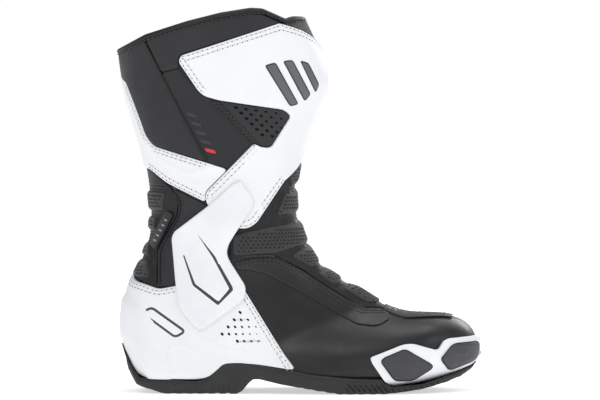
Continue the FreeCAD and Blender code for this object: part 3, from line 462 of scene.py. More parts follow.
class Panel:
    """A sewn piece: an outline on the last with rounded edges, relief, holes and stitching."""

    def __init__(self, nodes, low, high, wrap="front", radius=2.5, edge=0.7, spacing=3.2, step=1.8):
        self.wrap, self.low, self.high, self.edge, self.spacing = wrap, low, high, edge, spacing
        self.loop, self.places = trace(nodes, True, radius, wrap, step, high)
        self.sign = inward(self.loop, high)
        self.reliefs, self.pits, self.field, self.cells = [], None, None, None

    def inset(self, distance):
        """The outline moved inwards, in steps of about a millimetre so that corners don't cross."""
        line = self.loop
        steps = max(1, math.ceil(distance))
        for _ in range(steps):
            line = shifted(line, self.sign * distance / steps, self.high)
            line = line * 0.9 + (np.roll(line, 1, 0) + np.roll(line, -1, 0)) * 0.05
        return line

    def scale(self):
        """Millimetres per unit of u and of v."""
        _, du, dv = slopes(self.loop, self.high)
        return np.array([np.linalg.norm(du, axis=1).mean(), np.linalg.norm(dv, axis=1).mean()])

    def top_points(self, boundary, scale):
        """Points of the top face inside its boundary: their (u, v), rises and darkness."""
        if self.cells:
            flat, heights, darks = self.cells(boundary)
            return flat / scale, heights, darks
        grid = hex_points(boundary.min(0), boundary.max(0), self.spacing)
        grid = grid[inside(grid, boundary)]
        grid = grid[distance_to(grid, boundary, True) > 0.55 * self.spacing]
        extra = []
        for relief in self.reliefs:
            if len(grid):
                near = distance_to(grid, relief.line * scale, relief.closed) < relief.width * 1.3
                grid = grid[~near]
            samples = relief.samples * scale
            samples = samples[inside(samples, boundary)]
            extra.append(samples[distance_to(samples, boundary, True) > 0.4])
        if not self.pits:
            flat = np.vstack([grid] + extra) / scale
            return flat, np.zeros(len(flat)), np.zeros(len(flat), bool)
        pit_uv, pit_lift, pit_dark = self.pits.rings(self.high)
        for centre in pit_uv[2 * PIT_SIDES::2 * PIT_SIDES + 1] * scale:
            grid = grid[np.linalg.norm(grid - centre, axis=1) > PIT_ROOM]
        flat = np.vstack([grid] + extra) / scale
        count = len(flat)
        return (np.vstack([flat, pit_uv]), np.concatenate([np.zeros(count), pit_lift]),
                np.concatenate([np.zeros(count, bool), pit_dark]))

    def build(self, name, materials):
        """The panel's mesh: rim rings, top face and underside."""
        t, count, scale = self.high, len(self.loop), self.scale()
        profile = [(0, self.low)] + [(a * self.edge, t - b * self.edge) for a, b in RIM_CURVE]
        rings = [self.inset(d) if d else self.loop for d, _ in profile]
        for relief in self.reliefs:
            relief.prepare(self.wrap, t)
        boundary = rings[-1] * scale
        flat, heights, darks = self.top_points(boundary, scale)
        tris = triangles(boundary, flat * scale)
        back = hex_points(boundary.min(0), boundary.max(0), UNDER_SPACING)
        back = back[inside(back, self.loop * scale)]
        back = back[distance_to(back, self.loop * scale, True) > UNDER_SPACING / 3]
        uv = np.vstack(rings + [flat, back / scale])
        level = np.concatenate([np.full(count, z) for _, z in profile]
                               + [np.full(len(flat), t), np.full(len(back), self.low)])
        base = skin(uv[:, 0], uv[:, 1], t)
        rise = np.zeros(len(uv))
        top_end = len(uv) - len(back)
        rise[top_end - len(flat):top_end] = heights
        for relief in self.reliefs:
            rise += relief.lift(uv, base)
        if self.field:
            rise += self.field(uv, base)
        rise[:count] = rise[top_end:] = 0
        points = skin(uv[:, 0], uv[:, 1], level + rise)
        top = (len(rings) - 1) * count
        faces = []
        for k in range(len(rings) - 1):
            faces += ring_faces(k * count, (k + 1) * count, count)
        index = [0] * len(faces)
        # Triangles with only dark points take the second material: pit floors, the dark layer under the holes
        # and painted shade inside them.
        dark_at = np.concatenate([np.zeros(count, bool), darks])
        for tri in tris:
            faces.append([top + i for i in tri])
            index.append(int(len(materials) > 1 and dark_at[tri].all()))
        under = triangles(self.loop * scale, back)
        faces += [[i if i < count else i - count + top_end for i in tri[::-1]] for tri in under]
        index += [0] * len(under)
        if outward_sign(points, faces[len(faces) - len(under) - 1]) < 0:
            faces = [f[::-1] for f in faces]
        return make_object(name, points, faces, materials, index)

    def lay(self, name, materials, body, slot, *nodes):
        """Builds the panel and settles it."""
        return settle(self.build(name, materials), body, nodes)

    def along_edge(self, first, last, inset):
        """The stretch of the outline from one node to another, moved inwards."""
        line = self.inset(inset)
        i, j = self.places[first], self.places[last]
        if j > i:
            return line[i:j + 1]
        return np.vstack([line[i:], line[:j + 1]])

    def hem(self, name, stretches, body, thread, pitch=4.2):
        """Stitches along the outline. A stretch is its first and last node and distances from the edge."""
        rows = [self.along_edge(first, last, inset) for first, last, insets in stretches for inset in insets]
        sew(name, rows, self.high, body, thread, pitch)


def outward_sign(points, face):
    """+1 if a face near the top of a panel faces away from the boot's core."""
    a, b, c = (points[i] for i in face[:3])
    core = np.array([a[0], 0.0, a[2]])
    return 1 if np.dot(np.cross(b - a, c - a), a - core) > 0 else -1


def capsule_template():
    """A low stitch: an ellipsoid of unit length, width and height, as vertices and faces."""
    around, along = 6, 5
    verts, faces = [], []
    for i in range(along):
        x = math.cos(math.pi * i / (along - 1)) * -0.5
        r = math.sin(math.pi * (i + 0.25) / (along - 0.5))
        for k in range(around):
            a = TAU * k / around
            verts.append((x, 0.5 * r * math.cos(a), 0.5 * r * math.sin(a)))
    for i in range(along - 1):
        faces += ring_faces(i * around, (i + 1) * around, around)
    faces.append(list(range(around))[::-1])
    faces.append(list(range((along - 1) * around, along * around)))
    return np.array(verts), faces


CAPSULE, CAPSULE_FACES = capsule_template()


STITCH_WIDTH, STITCH_HEIGHT, STITCH_LIFT = 0.75, 0.62, 0.12
NEEDLE_RADIUS, NEEDLE_DEPTH, NEEDLE_LIFT, NEEDLE_SIDES = 0.52, 0.3, 0.06, 7


def needle_hole_painted_shade(spot, along, across, out):
    """A near-black disc just proud of the surface, closed below: painted shade of a needle hole."""
    angles = np.arange(NEEDLE_SIDES) * TAU / NEEDLE_SIDES
    ring = np.cos(angles)[:, None] * along + np.sin(angles)[:, None] * across
    ring = spot + out * NEEDLE_LIFT + NEEDLE_RADIUS * ring
    top = list(range(NEEDLE_SIDES))
    faces = [top] + ring_faces(NEEDLE_SIDES, 0, NEEDLE_SIDES) + [[NEEDLE_SIDES + i for i in top][::-1]]
    return np.vstack([ring, ring - out * NEEDLE_DEPTH]), faces


def sew(name, lines, t, body, thread, pitch=4.2, length=2.9):
    """Rows of stitches along lines of (u, v). Each has a thread and, at its end, a near-black disc of painted
    shade for its needle hole.
    """
    verts, faces, index = [], [], []
    place = 0
    for line in lines:
        p = skin(line[:, 0], line[:, 1], t)
        run = np.concatenate([[0], np.cumsum(np.linalg.norm(np.diff(p, axis=0), axis=1))])
        count = int(run[-1] / pitch)
        if count < 1:
            continue
        at = (np.arange(count) + 0.5) * run[-1] / count
        uv = np.stack([np.interp(at, run, line[:, k]) for k in (0, 1)], 1)
        ahead = np.stack([np.interp(at + 0.5, run, line[:, k]) for k in (0, 1)], 1)
        here = skin(uv[:, 0], uv[:, 1], t)
        along = skin(ahead[:, 0], ahead[:, 1], t) - here
        along /= np.maximum(np.linalg.norm(along, axis=1, keepdims=True), 1e-9)
        out = normals(uv, t)
        across = np.cross(out, along)
        for c, a, b, n in zip(here, along, across, out):
            stitch = (c + n * STITCH_LIFT + CAPSULE[:, :1] * a * length
                      + CAPSULE[:, 1:2] * b * STITCH_WIDTH + CAPSULE[:, 2:] * n * STITCH_HEIGHT)
            # A disc of painted shade marks the needle hole at the stitch's end.
            hole = needle_hole_painted_shade(c + a * pitch / 2, a, b, n)
            for material, (points, polygons) in enumerate(((stitch, CAPSULE_FACES), hole)):
                verts.append(points)
                faces += [[place + i for i in f] for f in polygons]
                index += [material] * len(polygons)
                place += len(points)
    obj = make_object(name, np.vstack(verts), faces, [thread, NEEDLE_SHADE], index)
    return settle(obj, body)


TUBE_SIDES = 8
TUBE_END = 0.35         # share of the radius left at a tube's last ring


def tube(name, line, t, radius, material, body):
    """A cord of piping along a line of (u, v), with narrowed ends."""
    sides = TUBE_SIDES
    p = skin(line[:, 0], line[:, 1], t)
    n = normals(line, t)
    along = np.gradient(p, axis=0)
    along /= np.linalg.norm(along, axis=1, keepdims=True)
    across = np.cross(n, along)
    angles = np.arange(sides) * TAU / sides
    size = np.ones(len(p))
    size[[0, -1]] = TUBE_END
    round_it = (np.cos(angles)[None, :, None] * across[:, None]
                + np.sin(angles)[None, :, None] * n[:, None])
    rings = (p[:, None] + radius * size[:, None, None] * round_it).reshape(-1, 3)
    faces = []
    for i in range(len(p) - 1):
        faces += ring_faces(i * sides, (i + 1) * sides, sides)
    faces.append(list(range(sides))[::-1])
    faces.append(list(range((len(p) - 1) * sides, len(p) * sides)))
    return settle(make_object(name, rings, faces, [material]), body)


def grid_object(name, points, materials, close_u=False, cap=False):
    """A mesh from a grid of points, rows by columns."""
    rows, cols = points.shape[:2]
    faces = []
    for i in range(rows - 1):
        for j in range(cols if close_u else cols - 1):
            k = (j + 1) % cols
            faces.append([i * cols + j, i * cols + k, (i + 1) * cols + k, (i + 1) * cols + j])
    if cap:
        faces.append([j for j in range(cols)][::-1])
        faces.append([(rows - 1) * cols + j for j in range(cols)])
    return make_object(name, points.reshape(-1, 3), faces, materials)


# ---- Materials ----

class Nodes:
    """Short-hand for building one material's node tree."""

    def __init__(self, name, color, roughness, **settings):
        self.material = bpy.data.materials.new(name)
        self.material.use_nodes = True
        self.tree = self.material.node_tree
        self.shader = self.tree.nodes["Principled BSDF"]
        self.shader.inputs["Base Color"].default_value = (*color, 1)
        self.shader.inputs["Roughness"].default_value = roughness
        self.material.diffuse_color = (*color, 1)
        for key, value in settings.items():
            self.shader.inputs[key.replace("_", " ")].default_value = value
        self.place = self.add("ShaderNodeTexCoord").outputs["Object"]
        self.normal = None

    def add(self, kind, **settings):
        node = self.tree.nodes.new(kind)
        for key, value in settings.items():
            setattr(node, key, value)
        return node

    def link(self, a, b):
        self.tree.links.new(a, b)

    def noise(self, scale, detail=3.0, stretch=None):
        node = self.add("ShaderNodeTexNoise")
        node.inputs["Scale"].default_value = scale
        node.inputs["Detail"].default_value = detail
        self.link(self.stretched(stretch), node.inputs["Vector"])
        return node.outputs["Fac"]

    def cells(self, scale):
        node = self.add("ShaderNodeTexVoronoi", feature="SMOOTH_F1")
        node.inputs["Scale"].default_value = scale
        self.link(self.place, node.inputs["Vector"])
        return node.outputs["Distance"]

    def bands(self, scale, axis, distortion=0.0):
        node = self.add("ShaderNodeTexWave", bands_direction=axis)
        node.inputs["Scale"].default_value = scale
        node.inputs["Distortion"].default_value = distortion
        self.link(self.place, node.inputs["Vector"])
        return node.outputs["Fac"]

    def stretched(self, stretch):
        if not stretch:
            return self.place
        node = self.add("ShaderNodeMapping")
        node.inputs["Scale"].default_value = stretch
        self.link(self.place, node.inputs["Vector"])
        return node.outputs["Vector"]

    def ramp(self, value, low, high, start=0.0, end=1.0):
        node = self.add("ShaderNodeMapRange")
        for key, number in zip(("From Min", "From Max", "To Min", "To Max"), (start, end, low, high)):
            node.inputs[key].default_value = number
        self.link(value, node.inputs["Value"])
        return node.outputs["Result"]

    def tint(self, value, low, high, start=0.3, end=0.7):
        """Base colour between two colours, by a texture."""
        node = self.add("ShaderNodeMix", data_type="RGBA")
        node.inputs["A"].default_value = (*low, 1)
        node.inputs["B"].default_value = (*high, 1)
        self.link(self.ramp(value, 0, 1, start, end), node.inputs["Factor"])
        self.link(node.outputs["Result"], self.shader.inputs["Base Color"])

    def roughen(self, value, low, high, start=0.3, end=0.7):
        self.link(self.ramp(value, low, high, start, end), self.shader.inputs["Roughness"])

    def bump(self, value, depth, strength=1.0):
        node = self.add("ShaderNodeBump")
        node.inputs["Distance"].default_value = depth * MM
        node.inputs["Strength"].default_value = strength
        self.link(value, node.inputs["Height"])
        if self.normal:
            self.link(self.normal, node.inputs["Normal"])
        self.normal = node.outputs["Normal"]
        self.link(self.normal, self.shader.inputs["Normal"])


def leather(name, color, roughness, grain=1.1, depth=0.12, gloss=0.3):
    """Coated microfibre: fine pebbled grain, faint creases, and a finish that varies a little."""
    m = Nodes(name, color, roughness, Specular_IOR_Level=gloss)
    shade = tuple(c * (0.96 if color[0] > 0.5 else 0.8) for c in color)
    m.tint(m.noise(38, 5), shade, color)
    m.roughen(m.noise(55, 4), roughness - 0.06, roughness + 0.08)
    m.bump(m.noise(45, 3), 0.35, 0.5)
    m.bump(m.cells(1000 / grain), depth)
    m.bump(m.noise(2600, 2), 0.03)
    return m.material


def moulded(name, color, roughness, grain=0.35, depth=0.05, **settings):
    """Injection moulded plastic or rubber: fine spark-eroded texture."""
    m = Nodes(name, color, roughness, **settings)
    m.tint(m.noise(30, 4), tuple(c * 0.9 for c in color), color)
    m.roughen(m.noise(90, 4), roughness - 0.05, roughness + 0.06)
    m.bump(m.noise(1000 / grain, 2), depth)
    return m.material


def woven(name, color, roughness, pitch=0.8, depth=0.18, sheen=0.3):
    """Cloth with a visible weave in two directions and loose fibres."""
    m = Nodes(name, color, roughness, Sheen_Weight=sheen, Sheen_Roughness=0.5)
    scale = 1000 / pitch / 3.2
    m.bump(m.bands(scale, "X", 0.4), depth)
    m.bump(m.bands(scale, "Z", 0.4), depth)
    m.tint(m.noise(900, 3), tuple(c * 0.6 for c in color), tuple(min(1, c * 1.35) for c in color))
    return m.material


def metal(name, color, roughness):
    m = Nodes(name, color, roughness, Metallic=1.0)
    m.roughen(m.noise(600, 4, (1, 12, 1)), roughness - 0.08, roughness + 0.12)
    m.bump(m.noise(1500, 3), 0.02)
    return m.material


BLACK_LEATHER = leather("black_leather", (0.013, 0.013, 0.014), 0.47)
VAMP_LEATHER = leather("vamp_leather", (0.010, 0.010, 0.011), 0.38, 0.9, 0.09, 0.4)
GREY_LEATHER = leather("charcoal_leather", (0.020, 0.020, 0.022), 0.5, 1.2, 0.14, 0.35)
WHITE_LEATHER = leather("white_microfibre", (0.80, 0.81, 0.825), 0.42, 0.8, 0.03, 0.4)
WHITE_TPU = moulded("white_tpu", (0.80, 0.815, 0.835), 0.36, 0.5, 0.012)
GREY_TPU = moulded("charcoal_tpu", (0.035, 0.035, 0.038), 0.5, 0.3, 0.03)
RUBBER = moulded("sole_rubber", (0.014, 0.014, 0.015), 0.62, 0.4, 0.05)
# Near-black: painted shade of the needle holes.
NEEDLE_SHADE = moulded("needle_hole_painted_shade", (0.012, 0.012, 0.013), 0.9)
MESH = woven("honeycomb_mesh", (0.03, 0.03, 0.032), 0.75, 0.5, 0.1, 0.2)
# Near-black pit floors: the dark layer under the holes, and painted shade inside them.
PIT_UNDERLAYER_AND_SHADE = moulded("pit_underlayer_and_painted_shade", (0.004, 0.004, 0.004), 0.95)
STRETCH = woven("stretch_nylon", (0.012, 0.012, 0.014), 0.8, 0.7, 0.12, 0.25)
ELASTIC = woven("ribbed_elastic", (0.03, 0.03, 0.033), 0.8, 0.9, 0.2, 0.3)
LINING = woven("lining_mesh", (0.055, 0.057, 0.062), 0.85, 1.4, 0.3, 0.4)
WHITE_THREAD = woven("white_thread", (0.8, 0.8, 0.8), 0.6, 0.4, 0.1, 0.2)
GREY_THREAD = woven("grey_thread", (0.3, 0.3, 0.31), 0.6, 0.4, 0.1, 0.2)
BLACK_THREAD = woven("black_thread", (0.02, 0.02, 0.022), 0.55, 0.4, 0.1, 0.3)
GREY_PRINT = moulded("grey_print", (0.10, 0.105, 0.115), 0.35)
DARK_PRINT = moulded("dark_print", (0.02, 0.022, 0.025), 0.35)
RED_PRINT = moulded("red_print", (0.62, 0.02, 0.03), 0.4)
BLACK_METAL = metal("black_metal", (0.08, 0.08, 0.085), 0.35)
STEEL = metal("steel", (0.5, 0.5, 0.5), 0.3)
FOAM = woven("foam_board", (0.22, 0.2, 0.17), 0.9, 1.5, 0.2, 0.2)

# ---- Panels of the upper ----

SIDES = ("lateral", "medial")


def on_side(nodes, side):
    """Nodes given for the lateral side, on either side."""
    return medial(nodes) if side == "medial" else list(nodes)


def across_front(top, ends, bottom):
    """A closed outline over the front middle, the same on both sides: its upper edge, its lower edge."""
    return (top + [("f", ends[0])] + mirrored(top) + mirrored(bottom) + [("f", ends[1])] + bottom)


def across_back(top, ends, bottom):
    """The same over the back middle. top and bottom run away from and back to the middle."""
    return [("b", ends[0])] + top + bottom + [("b", ends[1])] + mirrored(bottom) + mirrored(top)


SHIN = ([(52.8, 277.8), (134.6, 304.2), ("f", 286.5)] + medial([(134.6, 304.2), (114, 298), (118, 250),
        (126, 205), (139, 175.5)]) + [("f", 196.5), (138.8, 174.8), (115.4, 140.2), (108, 136), (100.4, 136),
        (76, 154), (73.6, 158.5), (73.6, 165.9), (113.8, 205.8), (118.2, 203.2), (127.6, 201.8),
        (144.6, 228.4), (138.4, 233.6), (84.2, 241.4), (72.3, 244.9), (67.3, 249.1), (51.4, 272.5)])
SHIN_BARS = [[(122, 270), (131, 272.5), (150, 238), (143, 236)],
             [(137, 273.5), (145, 274.5), (160, 246), (155, 240)],
             [(151, 274), (158, 272), (167, 254), (164, 247)]]


def shin_plate():
    panel = Panel(SHIN, 0.0, 3.2, radius=4, edge=1.0, spacing=3.4)
    panel.reliefs = [
        Relief([(119, 206), (106, 192), (112, 176), (119, 150)], 2.2, 0.45),
        Relief([(126, 204), (133, 190), (142, 196)], 2.0, 0.35),
        Relief([(88, 236), (140, 228), (148, 236), (150, 262)], 2.4, -0.3),
    ]
    panel.lay("shin_plate_skin", [WHITE_LEATHER], "shaft", "white_microfibre", "shin_plate")
    stretches = [(22, 7, (1.8, 5.2)), (14, 16, (1.8, 5.2)), (9, 13, (2.0, 5.6))]
    panel.hem("shin_plate_stitching", stretches, "shaft", WHITE_THREAD)
    for n, bar in enumerate(SHIN_BARS):
        rim = Panel(bar, 3.1, 3.55, radius=2.4, edge=0.2, spacing=4)
        rim.lay(f"shin_bar_rim_{n}", [DARK_PRINT], "shaft", "grey_print", "shin_graphic")
        face = Panel(bar, 3.3, 3.8, radius=2.4, edge=0.2, spacing=4)
        face.loop = face.inset(1.1)
        face.lay(f"shin_bar_face_{n}", [GREY_PRINT], "shaft", "grey_print")


CALF_BAND = ([("b", 261.4), (6.6, 256), (17.8, 227), (23.2, 211.6), (30, 203.2), (74, 190.1), (91.6, 184.6),
             (73.2, 166.3), (73.2, 157.6), (40.8, 173.4), (26.8, 184.2), ("b", 186)]
             + medial([(29, 182.5), (34, 190), (26, 205), (16, 225), (8, 251)]))


def calf_band():
    panel = Panel(CALF_BAND, 0.0, 1.9, wrap="back", radius=4, edge=0.7)
    panel.reliefs = [
        Relief([(22, 207), (34, 193), (60, 180), (77, 186), (84, 187)], 2.4, 0.6),
        Relief([(60, 179), (70, 174), (80, 178)], 2.0, -0.4),
    ]
    panel.lay("calf_band_skin", [WHITE_LEATHER], "shaft", "white_microfibre", "calf_band")
    stretches = [(1, 5, (1.6, 4.2)), (8, 10, (1.6, 4.4)), (12, 16, (1.6, 4.2))]
    panel.hem("calf_band_stitching", stretches, "shaft", WHITE_THREAD)


CALF = [("b", 279), (22.8, 290.2), (36, 263.8), (52.2, 231.8), (74, 191), (30.2, 203.8), (23.6, 212),
        (18.2, 227.4), (7.6, 254.5), ("b", 262)]
UPPER = [(24, 290.8), (57, 301.3), (85, 308.3), (110, 312.3), (119, 311.8), (128, 307.8), (134.4, 304.8),
         (51.9, 278.6), (50.5, 272.6), (51.6, 268), (37, 264.2)]
STRETCH_OUTLINE = [(37.4, 263.3), (51, 267), (66.6, 248.3), (71.8, 244.1), (79, 241.2), (113.2, 206),
                   (92.3, 185.6), (75.2, 191.2), (53.2, 232)]
VENT = [(80, 241.2), (84.2, 240.8), (138.2, 232.9), (143.9, 228.3), (127.3, 202.5), (118.3, 203.9),
        (114.2, 206.2)]
# Rows of vent holes: x and z of the first hole, and how many.
VENT_HOLES = [(98.5, 235.4, 5), (102.8, 230.9, 5), (107.1, 226.4, 4), (111.4, 222, 4), (115.7, 217.5, 3),
              (120, 213, 2)]


def lateral_shaft():
    """The calf, upper, stretch and vent panels."""
    calf = Panel(CALF, 0.0, 1.6, wrap="back", radius=4, edge=0.9)
    calf.lay("calf_panel_skin", [GREY_LEATHER], "shaft", "black_leather", "calf_panel")
    piping, _ = trace([(23.4, 289.5), (36.6, 264), (52.8, 232), (74.6, 191.4)], radius=8, step=2.5)
    tube("calf_piping", piping, 1.5, 1.05, BLACK_LEATHER, "shaft")
    upper = Panel(UPPER, 0.0, 1.5, radius=3, edge=0.7)
    upper.lay("upper_panel_skin", [GREY_LEATHER], "shaft", "black_leather", "upper_panel")
    stretch = Panel(STRETCH_OUTLINE, 0.0, 1.3, radius=3, edge=0.5)
    stretch.lay("stretch_panel_skin", [STRETCH], "shaft", "stretch_fabric", "stretch_panel")
    for n in range(5):
        x, z = 57.0 + 3.9 * n, 232 - 7.4 * n
        outline = [(x, z), (x + 8.5, z - 2), (x + 9.6, z - 5), (x + 1.4, z - 3.2)]
        dash = Panel(outline, 1.15, 1.5, radius=1, edge=0.12, spacing=5)
        colour = RED_PRINT if n == 4 else DARK_PRINT
        dash.lay(f"stretch_panel_dash_{n}", [colour], "shaft", "grey_print")
    vent = Panel(VENT, 0.0, 1.7, radius=4, edge=0.9)
    holes = [(x + 8.2 * k, z - 1.2 * k, 1.25 - 0.11 * k) for x, z, count in VENT_HOLES for k in range(count)]
    vent.pits = Pits(holes, 1.1, 1.45, -20)
    vent.lay("vent_insert_skin", [GREY_LEATHER, PIT_UNDERLAYER_AND_SHADE], "shaft", "black_leather", "vent_insert")
    strip = Panel([(78.5, 241.6), (84.5, 240.6), (118.2, 205.4), (113.8, 204.6)], 0.8, 2.3, radius=2,
                  edge=0.6)
    strip.lay("vent_strip", [BLACK_LEATHER], "shaft", "black_leather")
    rows = [trace([(x, 240.5), (x + 33, 206)], step=2.5)[0] for x in (79.6, 82.6)]
    sew("vent_strip_stitching", rows, 2.25, "shaft", BLACK_THREAD, pitch=3.6, length=2.7)


MEDIAL_REAR = medial([(22.8, 290.2), (57, 301.3), (78.5, 306.7), (78.5, 153.6), (72, 158.2), (41, 173.6),
                      (34.6, 179), (34.6, 190), (26.6, 205.5), (16.6, 225.5), (8.6, 252)])
MEDIAL_FRONT = [(95.5, 310), (119, 311.5), (127, 307.7), (131.5, 304), (113.4, 298.4), (117.4, 250),
                (125.4, 204.8), (138.5, 174.8), (115, 141), (100, 137), (95.5, 140)]


def medial_shaft():
    rear = Panel([("b", 279)] + MEDIAL_REAR + [("b", 262)], 0.0, 1.6, wrap="back", radius=3, edge=0.8)
    creases = [(30, 270), (70, 283)], [(34, 258), (70, 270)], [(40, 246), (70, 256)]
    rear.reliefs = [Relief(medial(crease), 2, 0.35) for crease in creases]
    rear.lay("medial_rear_skin", [GREY_LEATHER], "shaft", "black_leather", "medial_rear_panel")
    front = Panel(medial(MEDIAL_FRONT), 0.0, 1.6, radius=3, edge=0.8)
    front.lay("medial_front_skin", [GREY_LEATHER], "shaft", "black_leather", "medial_front_panel")
    rear.hem("medial_rear_stitching", [(3, 4, (1.6, 4.0)), (5, 8, (1.8,))], "shaft",
             BLACK_THREAD, pitch=3.8)
    front.hem("medial_front_stitching", [(10, 0, (1.6, 4.0))], "shaft", BLACK_THREAD,
              pitch=3.8)


def gusset():
    """Ribbed elastic over the front of the collar."""
    panel = Panel(across_front([(136.5, 304.3), (139, 303.8), (146, 305.6)], (304.5, 288.6), [(160, 293.6)]),
                  0.0, 1.6, radius=0, edge=0.5, spacing=2.2)
    panel.field = lambda uv, p: 0.45 * np.sin(p[:, 1] * TAU / 4.2)
    panel.lay("front_gusset_skin", [ELASTIC], "shaft", "stretch_fabric", "front_gusset")


# ---- Bellows and their mesh windows ----

INSTEP = across_front([(93, 122), (100, 136), (115, 140), (139, 175), (148, 187)], (198, 70.4),
                      [(221, 69.8), (201, 70.9), (178, 85.2), (152, 102.2), (130, 113.8), (112, 113.8),
                       (93, 109.8)])
INSTEP_WINDOWS = [across_front([(141, 177.5), (146, 186)], (190, 173), [(143, 170)] ), across_front([(131,
                  146.5), (137.5, 163.5)], (167, 149.5), [(139, 147.4)] ), across_front([(96, 129.5),
                  (125, 136.5), (145, 139)], (141, 124), [(149, 121), (130, 115.6), (96, 114)] ),
                  across_front([(143.5, 112.8), (153, 118.5)], (121.5, 108.5), [(159.5, 103)] ),
                  across_front([(164.8, 98), (170, 100.5)], (102.6, 94), [(178.4, 88.4)] ),
                  across_front([(187, 85.2), (191, 86.8)], (89, 74.6), [(213, 73.8), (205.8, 74),
                  (199.4, 77.3)] ), ]
HEEL_BELLOWS = across_back([(26, 184), (40.8, 172.2), (45.2, 168.4), (51, 157), (49, 145.5), (33, 118.5)],
                           (184.6, 99), [(33, 87.8), (20, 92.2)])
HEEL_WINDOWS = [
    across_back([(40, 164.6)], (165.5, 150.5), [(38.6, 150.8)]),
    across_back([(32.6, 143.6)], (144.4, 134.2), [(32, 134.6)]),
    across_back([(27.2, 122)], (122.8, 113.4), [(26.8, 113.8)]),
    across_back([(26, 108)], (108.8, 96.5), [(26.4, 95.8)]),
]
BULGES = {}
RIDGE_PITCH = 2.4


def bulging(windows, wrap, height, slope):
    """A field that lifts each window's area, with soft sides, and leaves valleys between."""
    key = (id(windows), wrap)
    if key not in BULGES:
        BULGES[key] = [trace(w, True, 2.0, wrap, 2.5)[0] for w in windows]
    loops = BULGES[key]

    def lift(uv, points):
        rise, nearest = np.zeros(len(uv)), np.full(len(uv), 1e9)
        for loop in loops:
            edge = skin(loop[:, 0], loop[:, 1], 1.0)
            gap = distance_to(points, edge, True)
            reach = np.where(inside(uv, loop), gap, -gap)
            nearest = np.minimum(nearest, -reach)
            rise = np.maximum(rise, height * smooth((reach + slope * 0.7) / (slope * 1.7)))
        ridge = ramp((nearest - 1.2) / 0.8) * ramp((9 - nearest) / 2)
        return rise + 0.32 * ridge * np.cos(nearest * TAU / RIDGE_PITCH)
    return lift


def honeycomb(pitch, rib, depth):
    """Fills an outline with hexagonal cells: flat ribs, and a hole in each cell."""
    def fill(boundary):
        centres = hex_points(boundary.min(0), boundary.max(0), pitch)
        centres = centres[inside(centres, boundary)]
        centres = centres[distance_to(centres, boundary, True) > pitch * 0.62]
        points, lifts, darks = [], [], []
        corner = np.arange(6) * TAU / 6 + TAU / 12
        hole = pitch / 2 - rib
        # The floor and middle of each hole are dark: the black backing under the mesh, and painted shade
        # inside the hole.
        rings = ((pitch / math.sqrt(3), 0.25, False), (hole, 0.15, False), (hole - 0.18, -depth, True),
                 (0, -depth, True))
        for radius, lift, dark in rings:
            if radius == 0:
                points.append(centres)
            else:
                ring = np.stack([np.cos(corner), np.sin(corner)], 1) * radius
                points.append((centres[:, None] + ring[None]).reshape(-1, 2))
            lifts.append(np.full(len(points[-1]), lift))
            darks.append(np.full(len(points[-1]), dark))
        # Neighbouring cells share their corners, so each corner is kept once.
        corners = np.unique(np.round(points[0] / 0.2).astype(int), axis=0) * 0.2
        corners = corners[inside(corners, boundary)]
        corners = corners[distance_to(corners, boundary, True) > 0.5]
        points[0] = corners
        lifts[0] = np.full(len(corners), 0.25)
        darks[0] = np.zeros(len(corners), bool)
        return np.vstack(points), np.concatenate(lifts), np.concatenate(darks)
    return fill


def bellows():
    """Both bellows: leather with soft bulges, and a honeycomb mesh window on each bulge."""
    sets = (("instep", INSTEP, INSTEP_WINDOWS, "front", 2.7, 4.2),
            ("achilles", HEEL_BELLOWS, HEEL_WINDOWS, "back", 2.2, 3.4))
    for label, outline, windows, wrap, height, slope in sets:
        lift = bulging(windows, wrap, height, slope)
        base = Panel(outline, -2.2, 0.0, wrap=wrap, radius=3, edge=0.4, spacing=1.15)
        base.field = lift
        base.lay(f"{label}_bellows_skin", [BLACK_LEATHER], "ankle", "black_leather", f"{label}_bellows")
        for n, window in enumerate(windows):
            mesh = Panel(window, -0.9, 0.35, wrap=wrap, radius=2.5, edge=0.5, step=1.5)
            mesh.cells = honeycomb(3.3, 0.42, 0.85)
            mesh.field = lift
            mesh.lay(f"{label}_mesh_window_{n}", [MESH, PIT_UNDERLAYER_AND_SHADE], "ankle", "stretch_mesh", f"{label}_mesh")


QUARTER = [(45.6, 168.8), (72, 156.3), (85, 146.8), (99.5, 135), (92.4, 120), (92.4, 109.8), (65, 97.2),
           (50, 89.2), (33.6, 87.6), (33.6, 118.4), (49.6, 145.4), (51.6, 157)]


def quarters():
    for side in SIDES:
        panel = Panel(on_side(QUARTER, side), -2.2, 0.4, wrap="back", radius=3, edge=0.6)
        panel.lay(f"{side}_quarter_skin", [GREY_LEATHER], "ankle", "black_leather", f"{side}_quarter")
        edge = on_side([(47, 165.5), (52.4, 157), (50.6, 145.2), (35, 118), (35, 89)], side)
        rope, _ = trace(edge, radius=6, wrap="back", step=2.2)
        tube(f"{side}_quarter_piping", rope, 0.5, 1.1, BLACK_LEATHER, "ankle")
        seam = on_side([(50, 165), (55.4, 157), (53.4, 145), (37.8, 118), (37.8, 89.5)], side)
        row, _ = trace(seam, radius=6, wrap="back", step=2.2)
        sew(f"{side}_quarter_stitching", [row], 0.45, "ankle", BLACK_THREAD, pitch=3.6)


def tag():
    panel = Panel([(40, 150.3), (45.6, 147), (31, 118), (26.5, 122.5)], 1.4, 3.0, radius=1.5, edge=0.4)
    panel.lay("side_tag_skin", [STRETCH], "ankle", "stretch_fabric", "side_tag")
    for n in range(5):
        x, z = 39.6 - 2.3 * n, 143.6 - 4.2 * n
        outline = [(x, z), (x + 2.2, z - 1.2), (x + 1.6, z - 2.4), (x - 0.6, z - 1.2)]
        bar = Panel(outline, 2.9, 3.1, radius=0.4, edge=0.06, spacing=6)
        bar.lay(f"side_tag_bar_{n}", [GREY_THREAD], "ankle", "stretch_fabric")


# ---- Brace ----

